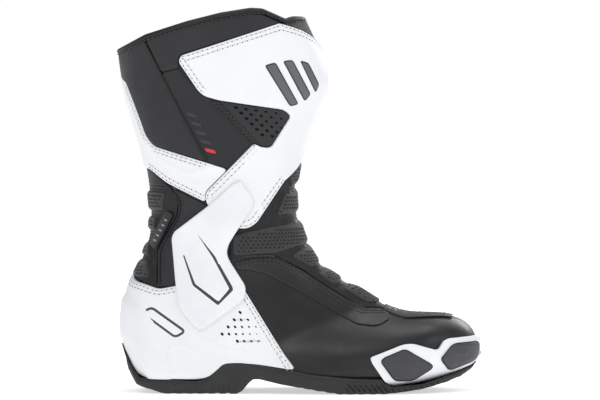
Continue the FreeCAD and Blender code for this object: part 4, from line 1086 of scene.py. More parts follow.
BRACE = [(102.7, 175.3), (113.6, 160.3), (113, 153), (99.7, 134.4), (92.5, 123), (90.9, 115.8),
         (93.2, 109.7), (106.4, 89.3), (106.9, 82.7), (104.6, 77.2), (72.1, 53.8), (67.2, 53.2),
         (62.4, 56.8), (52.8, 67.7), (50.4, 73.6), (48, 91.7), (44.6, 127.8), (46.8, 133.3), (74.5, 154.2),
         (95, 172.3), (99.7, 174.7)]
GROOVE = [(54.8, 114.2), (62.9, 89.4), (83.6, 73), (96, 85.4), (95.6, 88), (81, 113.5), (66.4, 131.8),
          (79, 112.8), (92.6, 87.2), (92.4, 86), (84.2, 76.2), (64.8, 90.6), (56, 114)]


def brace():
    """Moulded ankle brace with a domed face, a raised pad inside the groove, and a dark inlay."""
    panel = Panel(BRACE, 1.2, 6.2, radius=5, edge=1.8, spacing=3.0)
    panel.reliefs = [
        Relief([(56, 113), (64.4, 91.4), (83.6, 75.6), (93.4, 86.4), (79.6, 112.6), (68, 129)], 2.6, 0.55,
               closed=True),
        Relief([(101, 170), (96.5, 150), (85, 128), (88, 112)], 6.0, 0.5, radius=8),
    ]
    panel.lay("ankle_brace_shell", [WHITE_TPU], "ankle", "white_tpu", "ankle_brace")
    inlay = Panel(GROOVE, 5.0, 6.3, radius=1.2, edge=0.1, spacing=3)
    inlay.lay("brace_inlay_skin", [GREY_TPU], "ankle", "grey_tpu", "brace_inlay")


# ---- Foot ----

COUNTER_SIDE = [(20, 90), (34, 85.7), (50, 89), (65, 95.5), (85, 104.5), (98, 98), (107, 83), (146, 19.6)]
COUNTER_SOLE = [(118, 24), (100, 25.6), (88, 25), (81, 18.5), (74.4, 13.4), (66.8, 11.8), (24, 12.4),
                (15, 17), (9.2, 30.5)]
COUNTER = across_back(COUNTER_SIDE, (96.5, 42.3), COUNTER_SOLE)
# Rows of perforations: x and z of the first hole, and how many.
COUNTER_HOLES = [(101.9, 67, 1), (97, 61, 3), (92, 55.2, 5), (87, 49.3, 6), (99.6, 43.5, 4)]
# The raised cup at the back of the counter, in the side view, and how far it stands out.
CUP = np.array([(-30, 86), (6, 81), (20, 73), (34, 50), (44, 30), (47, 8), (26, 8), (11, 40), (-30, 50)],
               float)
CUP_HEIGHT, CUP_SLOPE = 1.6, 4.0


def heel_cup(_, points):
    """A panel's field: how far the cup stands out at each point."""
    side_view = points[:, [0, 2]]
    rise = CUP_HEIGHT * smooth(distance_to(side_view, CUP, True) / CUP_SLOPE)
    return np.where(inside(side_view, CUP), rise, 0)


def heel_counter():
    panel = Panel(COUNTER, 0.0, 2.4, wrap="back", radius=4, edge=0.9, spacing=3.6)
    panel.field = heel_cup
    badge = [(22, 66.5), (29, 70), (55.5, 51.5), (48.5, 47.5)]
    panel.reliefs = [
        Relief([(9, 79), (20, 73), (34, 50), (44, 30), (47, 18)], 1.8, 0.4),
        Relief([(71, 46.4), (83, 40), (95, 36.4), (107, 34.8), (129, 35)], 1.5, 0.4),
        Relief([(46, 18), (43, 36), (48, 40.5), (62, 38), (74, 27)], 1.6, 0.5),
        Relief(badge, 1.2, 0.55, closed=True, radius=2.5),
    ]
    holes = [(x + 5.7 * k, z, 1.15 - 0.13 * k) for x, z, count in COUNTER_HOLES for k in range(count)]
    panel.pits = Pits(holes, 1.2, 1.5, -45)
    panel.lay("heel_counter_skin", [WHITE_LEATHER, PIT_UNDERLAYER_AND_SHADE], "foot", "white_microfibre", "heel_counter")
    total = len(COUNTER)
    spans = ((0, 4), (7, 8), (total - 4, 0), (total - 8, total - 7))
    stretches = [(first, last, (1.7, 4.6)) for first, last in spans]
    panel.hem("heel_counter_stitching", stretches, "foot", WHITE_THREAD)
    lines = (("outer", 2.5, 1.7, GREY_PRINT), ("inner", 2.56, 0.8, DARK_PRINT))
    for name, high, margin, print_colour in lines:
        ring = Panel(badge, 2.2, high, wrap="back", radius=2.5, edge=0.1, spacing=4)
        ring.loop = ring.inset(-margin)
        ring.lay(f"heel_badge_{name}_line", [print_colour], "foot", "white_microfibre")


SURROUND = [(95.5, 107.6), (112, 111.8), (130, 111.8), (152, 100.3), (178, 83.3), (201, 69), (222, 68.4),
            (226, 62), (214.8, 55.7), (197.6, 57.4), (157.4, 80.4), (124, 98), (108, 102), (99, 101)]


def instep_surround():
    for side in SIDES:
        panel = Panel(on_side(SURROUND, side), 0.0, 1.5, radius=5, edge=1.1)
        panel.lay(f"instep_surround_{side}", [VAMP_LEATHER], "foot", "black_leather", "instep_surround")
        panel.hem(f"instep_surround_{side}_stitching", [(0, 6, (1.5, 4.6))], "foot",
                  BLACK_THREAD, pitch=3.8)


def grip_pad():
    """Rubber pad on the inner side, with a diamond tread."""
    outline = medial([(113, 84), (148, 24), (188, 30), (198, 54), (178, 67), (150, 83), (124, 96.5),
                      (113, 99)])
    panel = Panel(outline, 0.0, 1.8, radius=5, edge=0.8, spacing=1.7)

    def diamonds(_, p):
        """A tread of low diamonds with flat tops and floors."""
        across, up = p[:, 0] * 1.1, p[:, 2] * 0.7
        return 0.5 * np.clip(np.cos(across + up) * np.cos(across - up) * 2, -1, 1)
    panel.field = diamonds
    panel.lay("medial_grip_skin", [RUBBER], "foot", "sole_rubber", "medial_grip_pad")


def height_line(line, x):
    """Height at x of a line of (x, z)."""
    line = np.array(line)
    return np.interp(x, line[:, 0], line[:, 1])


# Upper border of the foot shell.
FOOT_EDGE = [(-30, 105), (12, 96), (20, 91), (34, 86.5), (50, 88), (65, 96), (92, 108.5), (112, 112.5),
             (130, 112.5), (152, 101), (178, 84), (201, 69.7), (226, 69), (330, 110)]
BORDER_STEPS = 700


def upper_border(u, height, t, bottom=REACH):
    """v at which each girth line crosses the line z = height(x), from above."""
    v = np.linspace(0.0, bottom, BORDER_STEPS)
    out = []
    for one in u:
        p = skin(np.full_like(v, one), v, t)
        over = p[:, 2] - height(p[:, 0])
        hit = np.nonzero(over <= 0)[0]
        k = hit[0] if len(hit) else len(v) - 1
        if k == 0:
            out.append(v[0])
            continue
        out.append(v[k - 1] + (v[k] - v[k - 1]) * over[k - 1] / (over[k - 1] - over[k]))
    return np.array(out)


def sleeve(name, u, starts, ends, rows, low, high, materials, quilt=None):
    """A closed tube of the last's skin between two borders, with its inner and outer faces."""
    share = np.linspace(0, 1, rows)[:, None]
    v = starts * (1 - share) + ends * share
    uu = np.broadcast_to(u, v.shape)
    outer = skin(uu, v, high)
    inner = skin(uu, v, low - quilt(v) if quilt else low)
    points = np.concatenate([outer, inner[::-1], outer[:1]])
    cols, total = len(u), 2 * rows
    faces = []
    for i in range(total):
        k = (i + 1) % total
        for j in range(cols):
            m = (j + 1) % cols
            faces.append([i * cols + m, i * cols + j, k * cols + j, k * cols + m])
    return make_object(name, points[:-1].reshape(-1, 3), faces, materials)


def foot_shell():
    """The black vamp and the shell under the counter and panels."""
    u = np.arange(168) / 168
    starts = upper_border(u, lambda x: height_line(FOOT_EDGE, x), 0.0)
    ends = np.full_like(starts, REACH - 0.5)
    obj = sleeve("foot_shell_skin", u, starts, ends, 190, -2.2, 0.0, [VAMP_LEATHER])
    settle(obj, "foot", ["foot_shell"])
    tip = skin(u, REACH - 0.5, 0.0)
    centre = tip.mean(0)
    end = skin(u, REACH, 0.0)
    rings = [tip] + [centre + (end - centre) * s + [0.45 * (1 - s), 0, 0] for s in (0.98, 0.7, 0.4, 0.1)]
    nose = grid_object("foot_shell_nose", np.array(rings), [VAMP_LEATHER], close_u=True)
    settle(nose, "foot")


def shift_pad():
    """Thicker leather over the toes, where the gear lever rubs."""
    nodes = [("g", 71.5, 0.452), ("f", 72), ("g", 71.5, 0.548), ("g", 66, 0.575), ("g", 63.2, 0.555),
             ("f", 63), ("g", 63.2, 0.445), ("g", 66, 0.425)]
    panel = Panel(nodes, 0.0, 1.7, radius=0, edge=0.8, spacing=2.4)
    ridges = [[("g", z, 0.46), ("f", z), ("g", z, 0.54)] for z in (69, 67, 65.5, 64.3)]
    panel.reliefs = [Relief(ridge, 1.2, 0.35) for ridge in ridges]
    panel.lay("shift_pad_skin", [VAMP_LEATHER], "foot", "grey_tpu", "shift_pad")


SLIDER = [(227.3, 6.6), (223.9, 7.2), (219.8, 10.2), (209.7, 25.8), (208.3, 30.5), (235.5, 41.4),
          (242.3, 42), (246.3, 41.4), (262.6, 36.3), (265.4, 37.3), (269.5, 44.1), (273.6, 45.8), (297, 47),
          (301, 44.6), (301.6, 36.7), (299, 26.5), (295, 22.5), (276.3, 15.6), (262.6, 11.5), (251.7, 8.3)]
SLIDER_REAR = [(217.3, 28.4), (219.8, 30.8), (235.5, 37.3), (238.9, 37), (258.6, 25.1), (260.6, 22.4),
               (258.6, 19.7), (246.3, 11.9), (242.3, 10.5), (230, 10.5), (226.6, 12.9), (217.5, 25.8)]
SLIDER_FRONT = [(266.7, 29.2), (275.5, 40), (279.6, 41.7), (297, 42.2), (299.6, 40), (299.6, 31.2),
                (297, 26.5), (293.6, 24.4), (276.3, 18.6), (272.9, 18.9), (267.4, 26.5)]


def toe_slider():
    """White carrier and its two dark pads, each with a sloping rim and a flat face."""
    frame_panel = Panel(SLIDER, -0.4, 4.0, radius=4, edge=1.3, spacing=3.0, step=1.4)
    settle(frame_panel.build("toe_slider_carrier", [WHITE_TPU]), "foot",
           ["toe_slider_frame", "toe_slider_screws"])
    for name, outline, mark in (("rear", SLIDER_REAR, [(228, 27), (236, 30.5), (250, 22), (243, 17)]),
                                ("front", SLIDER_FRONT, [(276, 32), (280, 36), (290, 35), (287, 30)])):
        trim = Panel(outline, 3.4, 4.35, radius=3.4, edge=0.3, spacing=3.5, step=1.4)
        trim.lay(f"toe_slider_{name}_trim", [RUBBER], "foot", "grey_tpu")
        pad = Panel(outline, 3.6, 6.0, radius=3, edge=1.5, spacing=2.6, step=1.4)
        pad.loop = pad.inset(0.9)
        pad.reliefs = [Relief(mark, 1.4, 0.5, closed=True, radius=1.5)]
        settle(pad.build(f"toe_slider_{name}_pad_skin", [GREY_TPU]), "foot",
               [f"toe_slider_{name}_pad"])


# ---- Outsole ----

SOLE_PLAN = [(3.3, 0), (6, -18), (14, -31), (28, -39), (50, -42.5), (75, -43), (100, -44.5), (125, -48),
             (150, -51.5), (175, -53.5), (195, -53.5), (215, -51.5), (235, -47.5), (252, -41.5),
             (268, -32.5), (281, -22), (291, -10), (298, 0), (301.3, 12), (299, 22), (292, 33), (281, 41.5),
             (268, 47.5), (252, 51.5), (235, 53), (215, 53), (195, 52), (175, 50), (150, 47), (125, 44),
             (100, 42.5), (75, 42), (50, 42), (28, 38.5), (14, 31), (6, 18)]
SOLE_LOW = [(2.4, 38), (3.4, 36), (5, 31), (9.5, 18), (16, 7.2), (21, 5), (29, 3), (34, 1.4), (38, 0),
            (98.5, 0), (103, 2.4), (109, 9.6), (112, 12), (117, 12.2), (134, 8.2), (164, 3), (184, 0),
            (220, 0), (236, 1.5), (252, 3.7), (272, 8.6), (284, 12.8), (293, 18.5), (299, 25.5), (303, 31)]
SOLE_HIGH = [(2, 39.5), (4, 39.5), (8.5, 29), (13.6, 17.6), (18, 13), (66, 10.6), (74, 13), (82, 20.4),
             (87.4, 25.6), (100, 25.8), (118, 24), (146, 19), (158, 16.5), (194, 13), (222, 12.6),
             (250, 15), (276, 21.5), (293, 27), (303, 33)]


def closed_curve(points, count):
    """Evenly spaced points of a smooth closed curve through the given ones."""
    points = np.array(points, float)
    n = len(points)
    out = []
    for i in range(n):
        a, b, c, d = points[i - 1], points[i], points[(i + 1) % n], points[(i + 2) % n]
        for s in np.arange(12) / 12:
            out.append(0.5 * (2 * b + (c - a) * s + (2 * a - 5 * b + 4 * c - d) * s ** 2
                              + (3 * b - a - 3 * c + d) * s ** 3))
    ring = np.vstack([np.array(out), out[:1]])
    run = np.concatenate([[0], np.cumsum(np.linalg.norm(np.diff(ring, axis=0), axis=1))])
    at = np.arange(count) / count * run[-1]
    return np.stack([np.interp(at, run, ring[:, k]) for k in (0, 1)], 1)


def stretch_of(x, start, rise, end, fall):
    """1 between start and end, going to 0 outside over the given lengths."""
    return ramp((x - start) / rise) * ramp((end - x) / fall)


TREAD_PITCH, TREAD_SWEEP, TREAD_DEPTH = 9.0, 0.28, 2.0


def tread(x, y):
    """Depth of the tread under the sole: chevron bars on the forefoot and heel, smooth at the waist."""
    wave = np.cos((x + TREAD_SWEEP * np.abs(y - 2)) * TAU / TREAD_PITCH)
    bars = ramp((wave + 0.35) * 3)
    centre = ramp((np.abs(y - 1) - 1.2) * 1.5)
    zone = stretch_of(x, 150, 5, 285, 8) + stretch_of(x, 36, 4, 97, 3)
    return TREAD_DEPTH * zone * (1 - np.minimum(bars, centre))


# Lower edge of the toe slider. On its side the sole's lip runs just under it.
SLIDER_SEAT = [(204, 60), (208.3, 30.5), (209.7, 25.8), (219.8, 10.2), (227.3, 6.6), (251.7, 8.3),
               (262.6, 11.5), (276.3, 15.6), (295, 22.5), (299, 26.5), (301.6, 36.7)]
# The top of the sole inside the lip, as (depth in from the wall, distance below the lip).
INSIDE_LIP = [(9.5, 5.0), (6.5, 1.5)]
# The wall from the lip down to the floor, as (share of the wall's height, depth in from the plan).
WALL = [(1, 2.6), (1, 1.1), (0.985, 0.35), (0.93, 0), (0.86, 0), (0.83, 0.55), (0.78, 0.6), (0.7, 0.3),
        (0.62, 0.3), (0.54, 0.4), (0.46, 0.5), (0.38, 0.6), (0.3, 0.8), (0.22, 1.0), (0.14, 1.3),
        (0.07, 1.7), (0.03, 2.1), (0, 2.7)]
WALL_POINTS = 900
# Grooves between slanted ribs beside the ball, and notches along the heel's lower edge. A span is where it
# starts, the length it takes to reach full depth, where it ends, and the length it takes to run out.
RIB_SPAN, RIB_PITCH, RIB_SLANT, RIB_DEPTH = (184, 6, 272, 6), 4.6, 0.9, 1.2
NOTCH_SPAN, NOTCH_PITCH, NOTCH_DEPTH = (44, 3, 98, 3), 4.4, 0.9


def outsole():
    """One rubber moulding: side wall with a lip, ribs along the forefoot, and a treaded underside."""
    ring = closed_curve(SOLE_PLAN, WALL_POINTS)
    tangent = np.roll(ring, -1, 0) - np.roll(ring, 1, 0)
    tangent /= np.linalg.norm(tangent, axis=1, keepdims=True)
    inwards = np.stack([-tangent[:, 1], tangent[:, 0]], 1)
    if inwards[0] @ (np.array([120, 0]) - ring[0]) < 0:
        inwards = -inwards
    x, y = ring.T
    high = height_line(SOLE_HIGH, x)
    seat = np.minimum(high, height_line(SLIDER_SEAT, x) - 0.4)
    high += (seat - high) * ramp(-y / 6)
    low = np.minimum(height_line(SOLE_LOW, x), high - 1.5)
    ribs = stretch_of(x, *RIB_SPAN)
    notches = stretch_of(x, *NOTCH_SPAN)
    rows = [np.column_stack([ring + inwards * depth, high - drop]) for depth, drop in INSIDE_LIP]
    for share, depth in WALL:
        z = low + (high - low) * share
        rib = ramp(2 * np.cos((x + (z - low) * RIB_SLANT) * TAU / RIB_PITCH))
        notch = ramp(2 * np.cos(x * TAU / NOTCH_PITCH))
        groove = ribs * ramp((share - 0.05) * 8) * ramp((0.72 - share) * 8) * RIB_DEPTH * rib
        groove += notches * ramp((0.4 - share) * 5) * NOTCH_DEPTH * notch
        xy = ring + inwards * (depth + groove)[:, None]
        if share == 0:
            z = z + 0.35 * tread(xy[:, 0], xy[:, 1])
        rows.append(np.column_stack([xy, z]))
    bottom_points, bottom_tris = sole_underside(rows[-1])
    points = np.vstack(rows + [bottom_points])
    faces = []
    for k in range(len(rows) - 1):
        faces += ring_faces(k * WALL_POINTS, (k + 1) * WALL_POINTS, WALL_POINTS)
    shift = (len(rows) - 1) * WALL_POINTS
    faces += [[shift + i for i in tri] for tri in bottom_tris]
    faces += [tri[::-1] for tri in triangles(rows[0][:, :2], np.empty((0, 2)))]
    settle(make_object("outsole_rubber", points, faces, [RUBBER]), "foot", ["outsole"])


def sole_underside(edge):
    """The treaded face inside the side wall's lowest ring."""
    loop = edge[:, :2]
    grid_x, grid_y = np.meshgrid(np.arange(6, 300, 1.5), np.arange(-54, 55, 2.6))
    grid = np.stack([grid_x.ravel(), grid_y.ravel()], 1)
    grid = grid[inside(grid, loop)]
    grid = grid[distance_to(grid, loop, True) > 1.0]
    tris = triangles(loop, grid)
    z = height_line(SOLE_LOW, grid[:, 0]) + tread(grid[:, 0], grid[:, 1])
    return np.column_stack([grid, z]), tris


# ---- Collar and lining ----

RIM = [(-30, 273), (1.6, 283.5), (24, 295.5), (57, 306), (85, 313), (110, 317), (119, 316.5), (128, 312.5),
       (139, 307.5), (146, 310), (200, 308)]


def rim_height(x):
    return height_line(RIM, x)


# Section of the collar's binding: half its thickness and height, and the offset of its middle.
BINDING_THICK, BINDING_TALL, BINDING_MIDDLE = 4.5, 2.6, -2.1
BINDING_SQUARENESS = 2.6


def collar():
    """Padded binding round the rim."""
    u = np.arange(220) / 220
    v = upper_border(u, rim_height, 0.0, bottom=PLACES[3])
    _, _, dv = slopes(np.stack([u, v], 1), 0.0)
    per_mm = 1 / np.linalg.norm(dv, axis=1)
    rings = []
    for a in np.arange(18) * TAU / 18:
        c, s = math.cos(a), math.sin(a)
        spread = (abs(c) ** BINDING_SQUARENESS + abs(s) ** BINDING_SQUARENESS) ** (-1 / BINDING_SQUARENESS)
        along = v + (BINDING_TALL - BINDING_TALL * s * spread) * per_mm
        rings.append(skin(u, along, BINDING_MIDDLE + BINDING_THICK * c * spread))
    rings.append(rings[0])
    obj = grid_object("collar_binding_skin", np.array(rings), [BLACK_LEATHER], close_u=True)
    settle(obj, "shaft", ["collar_binding"])
    for level, name in ((2.45, "outer"), (-6.6, "inner")):
        line = np.stack([u, v + 4.9 * per_mm], 1)
        line = np.vstack([line, line[:1] + [1, 0]])
        sew(f"collar_stitching_{name}", [line], level - 0.5, "shaft", BLACK_THREAD, pitch=4)


LINING_DROP = 3.4      # top of the lining below the rim
QUILT_PITCH, QUILT_HEIGHT = 19.0, 0.8


def lining_height(x):
    return rim_height(x) - LINING_DROP


def lining():
    """Mesh lining down the inside, quilted in bands, in one sleeve."""
    u = np.arange(150) / 150
    starts = upper_border(u, lining_height, -6.0, bottom=PLACES[3])
    ends = np.full_like(starts, PLACES[18])

    def quilt(v):
        """How far the inner face puffs out between the seams, from nothing at the rim."""
        return QUILT_HEIGHT * ramp((v - starts) / 8) * np.sqrt(np.abs(np.sin(v * math.pi / QUILT_PITCH)))
    obj = sleeve("boot_lining", u, starts, ends, 210, -6.5, -5.6, [LINING], quilt)
    settle(obj, "ankle", ["shaft_lining", "ankle_lining", "foot_lining"])


ANKLE_FLOOR = 88.0


def padding():
    """Foam between lining and shell, in one sleeve. None of it shows."""
    u = np.arange(120) / 120
    starts = upper_border(u, lining_height, -4.0, bottom=PLACES[3])
    ends = upper_border(u, lambda x: ANKLE_FLOOR + 0 * x, -4.0)
    obj = sleeve("boot_padding", u, starts, ends, 120, -5.2, -2.5, [FOAM])
    settle(obj, "ankle", ["shaft_padding", "ankle_padding"])


# ---- Zip and closure ----

ZIP_POINT = np.array([87.0, 52.55, 255.0])
ZIP_TILT = math.radians(5.37)
ZIP_X = np.array([-1.0, 0, 0])
ZIP_UP = np.array([0, math.sin(ZIP_TILT), math.cos(ZIP_TILT)])
ZIP_OUT = np.array([0, math.cos(ZIP_TILT), -math.sin(ZIP_TILT)])


def on_zip(points):
    """Points given across the zip, up it and out from it, in the drawing frame."""
    points = np.asarray(points, float)
    return ZIP_POINT + points[..., :1] * ZIP_X + points[..., 1:2] * ZIP_UP + points[..., 2:] * ZIP_OUT


def block(name, low, high, bevel, material, body, nodes=()):
    """A block in the zip's plane with rounded edges, from its corners."""
    mesh = bpy.data.meshes.new(name)
    plan = ((low[0], low[1]), (high[0], low[1]), (high[0], high[1]), (low[0], high[1]))
    corners = [(x, y, z) for z in (low[2], high[2]) for x, y in plan]
    faces = [(3, 2, 1, 0), (4, 5, 6, 7), (0, 1, 5, 4), (1, 2, 6, 5), (2, 3, 7, 6), (3, 0, 4, 7)]
    mesh.from_pydata(to_row(on_zip(corners)).tolist(), [], faces)
    mesh.materials.append(material)
    obj = bpy.data.objects.new(name, mesh)
    bpy.context.scene.collection.objects.link(obj)
    rounding = obj.modifiers.new("edges", "BEVEL")
    rounding.width, rounding.segments = bevel * MM, 3
    apply_modifiers(obj)
    return settle(obj, body, nodes)


def apply_modifiers(obj):
    """Leaves the modified mesh in place of the modifiers, shaded smooth below 40 degrees."""
    bpy.context.view_layer.update()
    evaluated = obj.evaluated_get(bpy.context.evaluated_depsgraph_get())
    mesh = bpy.data.meshes.new_from_object(evaluated)
    obj.modifiers.clear()
    obj.data = mesh
    mesh.polygons.foreach_set("use_smooth", [True] * len(mesh.polygons))
    mesh.set_sharp_from_angle(angle=math.radians(40))


# The tape's face from its middle to its edge: distance from the middle, and height.
TAPE_FACE = [(0, 1.3), (2.9, 1.3), (3.4, 1.1), (5, 1.05), (7.2, 0.9), (7.5, 0.5)]
TAPE_UNDER, TAPE_LOW, TAPE_HIGH, TAPE_ROWS = 0.4, -148, 37, 75
TEETH, TOOTH_PITCH, FIRST_TOOTH = 146, 1.22, -142
# A tooth's outline, as (distance across the chain, half width along it), and its layers, as (height, size).
TOOTH = [(-0.5, 0.42), (0.4, 0.55), (2.7, 0.36)]
TOOTH_LAYERS = [(1.2, 1.0), (2.5, 1.0), (2.85, 0.7)]


def zip_chain():
    """Tape with a raised middle, interlocking teeth, and end stops."""
    section = [(-x, z) for x, z in TAPE_FACE[:0:-1]] + TAPE_FACE
    section += [(x, TAPE_UNDER) for x, _ in section[::-1]]
    rows = [[(x, y, z) for x, z in section] for y in np.linspace(TAPE_LOW, TAPE_HIGH, TAPE_ROWS)]
    obj = grid_object("zip_tape_cloth", on_zip(rows), [STRETCH], close_u=True, cap=True)
    settle(obj, "shaft", ["zip_tape"])
    verts, faces = [], []
    for k in range(TEETH):
        side = 1 if k % 2 else -1
        y = FIRST_TOOTH + k * TOOTH_PITCH
        tooth = [(x * side, h) for x, h in TOOTH]
        for z, grow in TOOTH_LAYERS:
            for x, h in tooth:
                verts.append((x, y - h * grow, z))
            for x, h in reversed(tooth):
                verts.append((x, y + h * grow, z))
        base = len(verts) - 18
        flip = -1 if side > 0 else 1
        for ring in (0, 6):
            for f in ring_faces(base + ring, base + ring + 6, 6):
                faces.append(f[::flip])
        faces.append([base + 12 + i for i in range(6)][::flip])
        faces.append([base + i for i in range(6)][::-flip])
    obj = make_object("zip_teeth_chain", on_zip(np.array(verts)), faces, [GREY_TPU], flat=True)
    settle(obj, "shaft", ["zip_teeth"])
    block("zip_top_stop", (-4, 32.4, 1.2), (4, 35.2, 3.3), 0.5, BLACK_METAL, "shaft",
          ["zip_stops"])
    block("zip_bottom_stop", (-4, -147, 1.2), (4, -144, 3.3), 0.5, BLACK_METAL, "shaft")


def rod(name, height, radius, length, material, body, inner=0.0):
    """A round rod across the zip with eased ends, or an eye if inner is set."""
    sides = 20
    a = np.arange(sides) * TAU / sides
    profile = [(-0.5, radius * 0.8), (-0.46, radius), (0.46, radius), (0.5, radius * 0.8)]
    if inner:
        profile += [(0.5, inner), (-0.5, inner), profile[0]]
    rings = []
    for share, r in profile:
        rings.append(np.stack([np.full(sides, share * length), r * np.cos(a), height + r * np.sin(a)], 1))
    obj = grid_object(name, on_zip(np.array(rings)), [material], close_u=True, cap=not inner)
    return settle(obj, body)


def zip_slider():
    """Slider body over the teeth, its two ears and pin, and the pull hanging from it."""
    body, slot = "zip_slider_body", "zip_metal"
    for side, name in ((-1, "l"), (1, "r")):
        low, high = sorted((side * 3.2, side * 5.3))
        block(f"zip_slider_cheek_{name}", (low, -7, 1.3), (high, 7, 3.6), 0.5, BLACK_METAL, body)
        low, high = sorted((side * 2.5, side * 3.8))
        block(f"zip_slider_ear_{name}", (low, -2, 4.0), (high, 2, 8.35), 0.55, BLACK_METAL, body)
    block("zip_slider_plate", (-5.3, -7, 3.15), (5.3, 7, 4.4), 0.6, BLACK_METAL, body, ["zip_slider"])
    rod("zip_slider_pin", 6.7, 0.9, 7.4, STEEL, body)
    body = "zip_pull_body"
    rod("zip_pull_eye", 6.7, 2.0, 4.4, BLACK_METAL, body, inner=1.0)
    block("zip_pull_neck", (-2.2, -7, 4.8), (2.2, -1.3, 6.1), 0.3, BLACK_METAL, body)
    block("zip_pull_plate", (-3.5, -15.5, 4.8), (3.5, -6.5, 6.1), 0.4, BLACK_METAL, body, ["zip_pull"])
    block("zip_pull_grip_skin", (-4.5, -29, 4.0), (4.5, -14, 6.9), 0.9, GREY_TPU, body,
          ["zip_pull_grip"])
    for n in range(4):
        start, end = -26.5 + 2.9 * n, -25.2 + 2.9 * n
        block(f"zip_pull_rib_{n}", (-3.2, start, 6.6), (3.2, end, 7.4), 0.3, GREY_TPU, body)


def closure():
    """Hook-and-loop flap over the top of the zip, its sewn root and the patches."""
    outline = [(63, 264), (60.5, 267), (60.5, 296), (63.5, 299), (119.5, 303.5), (119.5, 264)]
    flap = Panel(medial(outline), 4.6, 6.2, radius=6, edge=0.7)
    flap.reliefs = [Relief(medial([(68, 271), (68, 291), (84, 294), (84, 271)]), 1.4, 0.45, closed=True),
                    Relief(medial([(112, 268), (112, 299)]), 1.2, -0.4)]
    flap.lay("closure_flap_skin", [BLACK_LEATHER], "flap", "black_leather", "closure_flap")
    row = flap.inset(2.0)
    row = np.vstack([row, row[:1]])
    sew("closure_flap_stitching", [row], 6.2, "flap", BLACK_THREAD, pitch=3.8)
    hook = Panel(medial([(64.5, 270), (64.5, 292), (75.5, 294.5), (75.5, 270)]), 3.7, 4.5, radius=2, edge=0.2,
                 spacing=1.0)
    hook.field = lambda uv, p: 0.15 * np.cos(p[:, 0] * 3) * np.cos(p[:, 2] * 3)
    hook.lay("hook_patch_skin", [GREY_TPU], "flap", "zip_nylon", "hook_patch")
    loop = Panel(medial([(63, 268), (63, 294), (76.5, 297), (76.5, 268)]), 1.5, 3.0, radius=2, edge=0.5)
    loop.lay("loop_patch_skin", [LINING], "shaft", "lining_fabric", "loop_patch")
    root = Panel(medial([(120.2, 264), (120.2, 303.4), (127, 303.4), (127, 264)]), 3.1, 6.2, radius=1.5,
                 edge=0.8)
    root.lay("flap_root_skin", [BLACK_LEATHER], "shaft", "black_leather", "flap_base")
    row, _ = trace(medial([(123.5, 266), (123.5, 301)]), step=2.5)
    sew("flap_root_stitching", [row], 6.2, "shaft", BLACK_THREAD, pitch=3.8)


# ---- Scene ----

INNER = {"shank": STEEL, "insole_board": FOAM, "footbed": LINING, "foot_padding": FOAM,
         "heel_stiffener": GREY_TPU, "toe_puff": GREY_TPU, "shaft_shell": BLACK_LEATHER}


def finish_inner():
    """Materials of the CAD pieces that stay as they are."""
    for node, material in INNER.items():
        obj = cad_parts[node]
        obj.data.materials.clear()
        obj.data.materials.append(material)


def soft_world(scene):
    """Even daylight, and plain white for the camera behind everything."""
    world = bpy.data.worlds.new("studio")
    world.use_nodes = True
    tree = world.node_tree
    soft = tree.nodes["Background"]
    soft.inputs["Color"].default_value = (0.96, 0.98, 1.0, 1)
    soft.inputs["Strength"].default_value = 0.55
    backdrop = tree.nodes.new("ShaderNodeBackground")
    backdrop.inputs["Color"].default_value = (1, 1, 1, 1)
    seen = tree.nodes.new("ShaderNodeLightPath")
    choose = tree.nodes.new("ShaderNodeMixShader")
    tree.links.new(seen.outputs["Is Camera Ray"], choose.inputs[0])
    tree.links.new(soft.outputs[0], choose.inputs[1])
    tree.links.new(backdrop.outputs[0], choose.inputs[2])
    tree.links.new(choose.outputs[0], tree.nodes["World Output"].inputs["Surface"])
    scene.world = world


FLOOR_HALF = 6


def pale_floor(scene):
    mesh = bpy.data.meshes.new("floor")
    corners = [(-FLOOR_HALF, -FLOOR_HALF, 0), (FLOOR_HALF, -FLOOR_HALF, 0),
               (FLOOR_HALF, FLOOR_HALF, 0), (-FLOOR_HALF, FLOOR_HALF, 0)]
    mesh.from_pydata(corners, [], [(0, 1, 2, 3)])
    floor = bpy.data.objects.new("floor", mesh)
    scene.collection.objects.link(floor)
    pale = Nodes("pale_floor", (0.82, 0.82, 0.82), 0.7, Emission_Strength=0.55)
    pale.shader.inputs["Emission Color"].default_value = (1, 1, 1, 1)
    mesh.materials.append(pale.material)


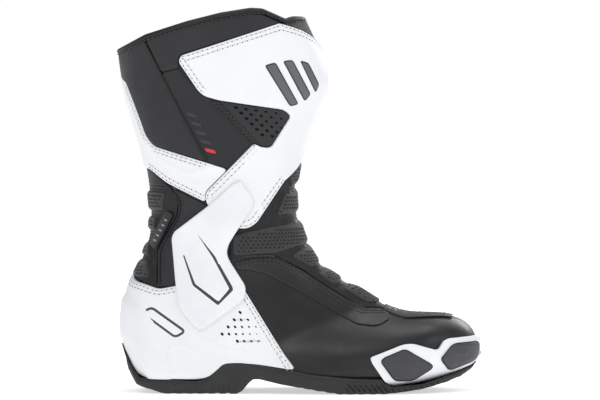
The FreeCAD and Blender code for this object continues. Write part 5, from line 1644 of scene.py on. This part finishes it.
# Each light: name, place in metres, size and power. All look at the middle of the boot.
LIGHTS = [("key", (-0.7, -1.7, 1.6), 1.2, 13), ("fill", (1.7, -1.0, 0.9), 1.0, 6),
          ("top", (0.3, 0.1, 2.0), 1.2, 12), ("rim", (0.9, 1.6, 0.9), 0.9, 9)]
LOOK_AT = (0, 0, 0.14)


def lights(scene):
    for name, place, size, power in LIGHTS:
        data = bpy.data.lights.new(name, "AREA")
        data.energy, data.size = power, size
        light = bpy.data.objects.new(name, data)
        light.location = place
        light.rotation_euler = (Vector(LOOK_AT) - Vector(place)).to_track_quat("-Z", "Y").to_euler()
        scene.collection.objects.link(light)


# The camera looks at CAMERA_TARGET (drawing frame) from the outer side. Distance and view width in metres.
CAMERA_TARGET, CAMERA_DISTANCE, VIEW_WIDTH = (150.9, -45.0, 159.5), 5.0, 0.492
CAMERA_ELEVATION = math.radians(2)
SENSOR_WIDTH = 36


def outer_camera(scene):
    data = bpy.data.cameras.new("camera")
    camera = bpy.data.objects.new("camera", data)
    scene.collection.objects.link(camera)
    back = Vector((0, -math.cos(CAMERA_ELEVATION), math.sin(CAMERA_ELEVATION)))
    camera.location = Vector(to_row(CAMERA_TARGET)) + back * CAMERA_DISTANCE
    camera.rotation_euler = (-back).to_track_quat("-Z", "Y").to_euler()
    data.sensor_width = SENSOR_WIDTH
    data.lens = SENSOR_WIDTH * CAMERA_DISTANCE / VIEW_WIDTH
    data.clip_start, data.clip_end = 0.1, 50
    scene.camera = camera


def studio():
    """Pale floor, soft lights and the camera, level with the boot's middle and far away."""
    scene = bpy.context.scene
    soft_world(scene)
    pale_floor(scene)
    lights(scene)
    outer_camera(scene)
    scene.view_settings.view_transform = "Standard"


PARTS = [shin_plate, calf_band, lateral_shaft, medial_shaft, gusset, bellows, quarters, tag, brace,
         heel_counter, instep_surround, grip_pad, foot_shell, shift_pad, toe_slider, outsole, collar,
         lining, padding, zip_chain, zip_slider, closure]

studio()
finish_inner()
for make_part in PARTS:
    make_part()
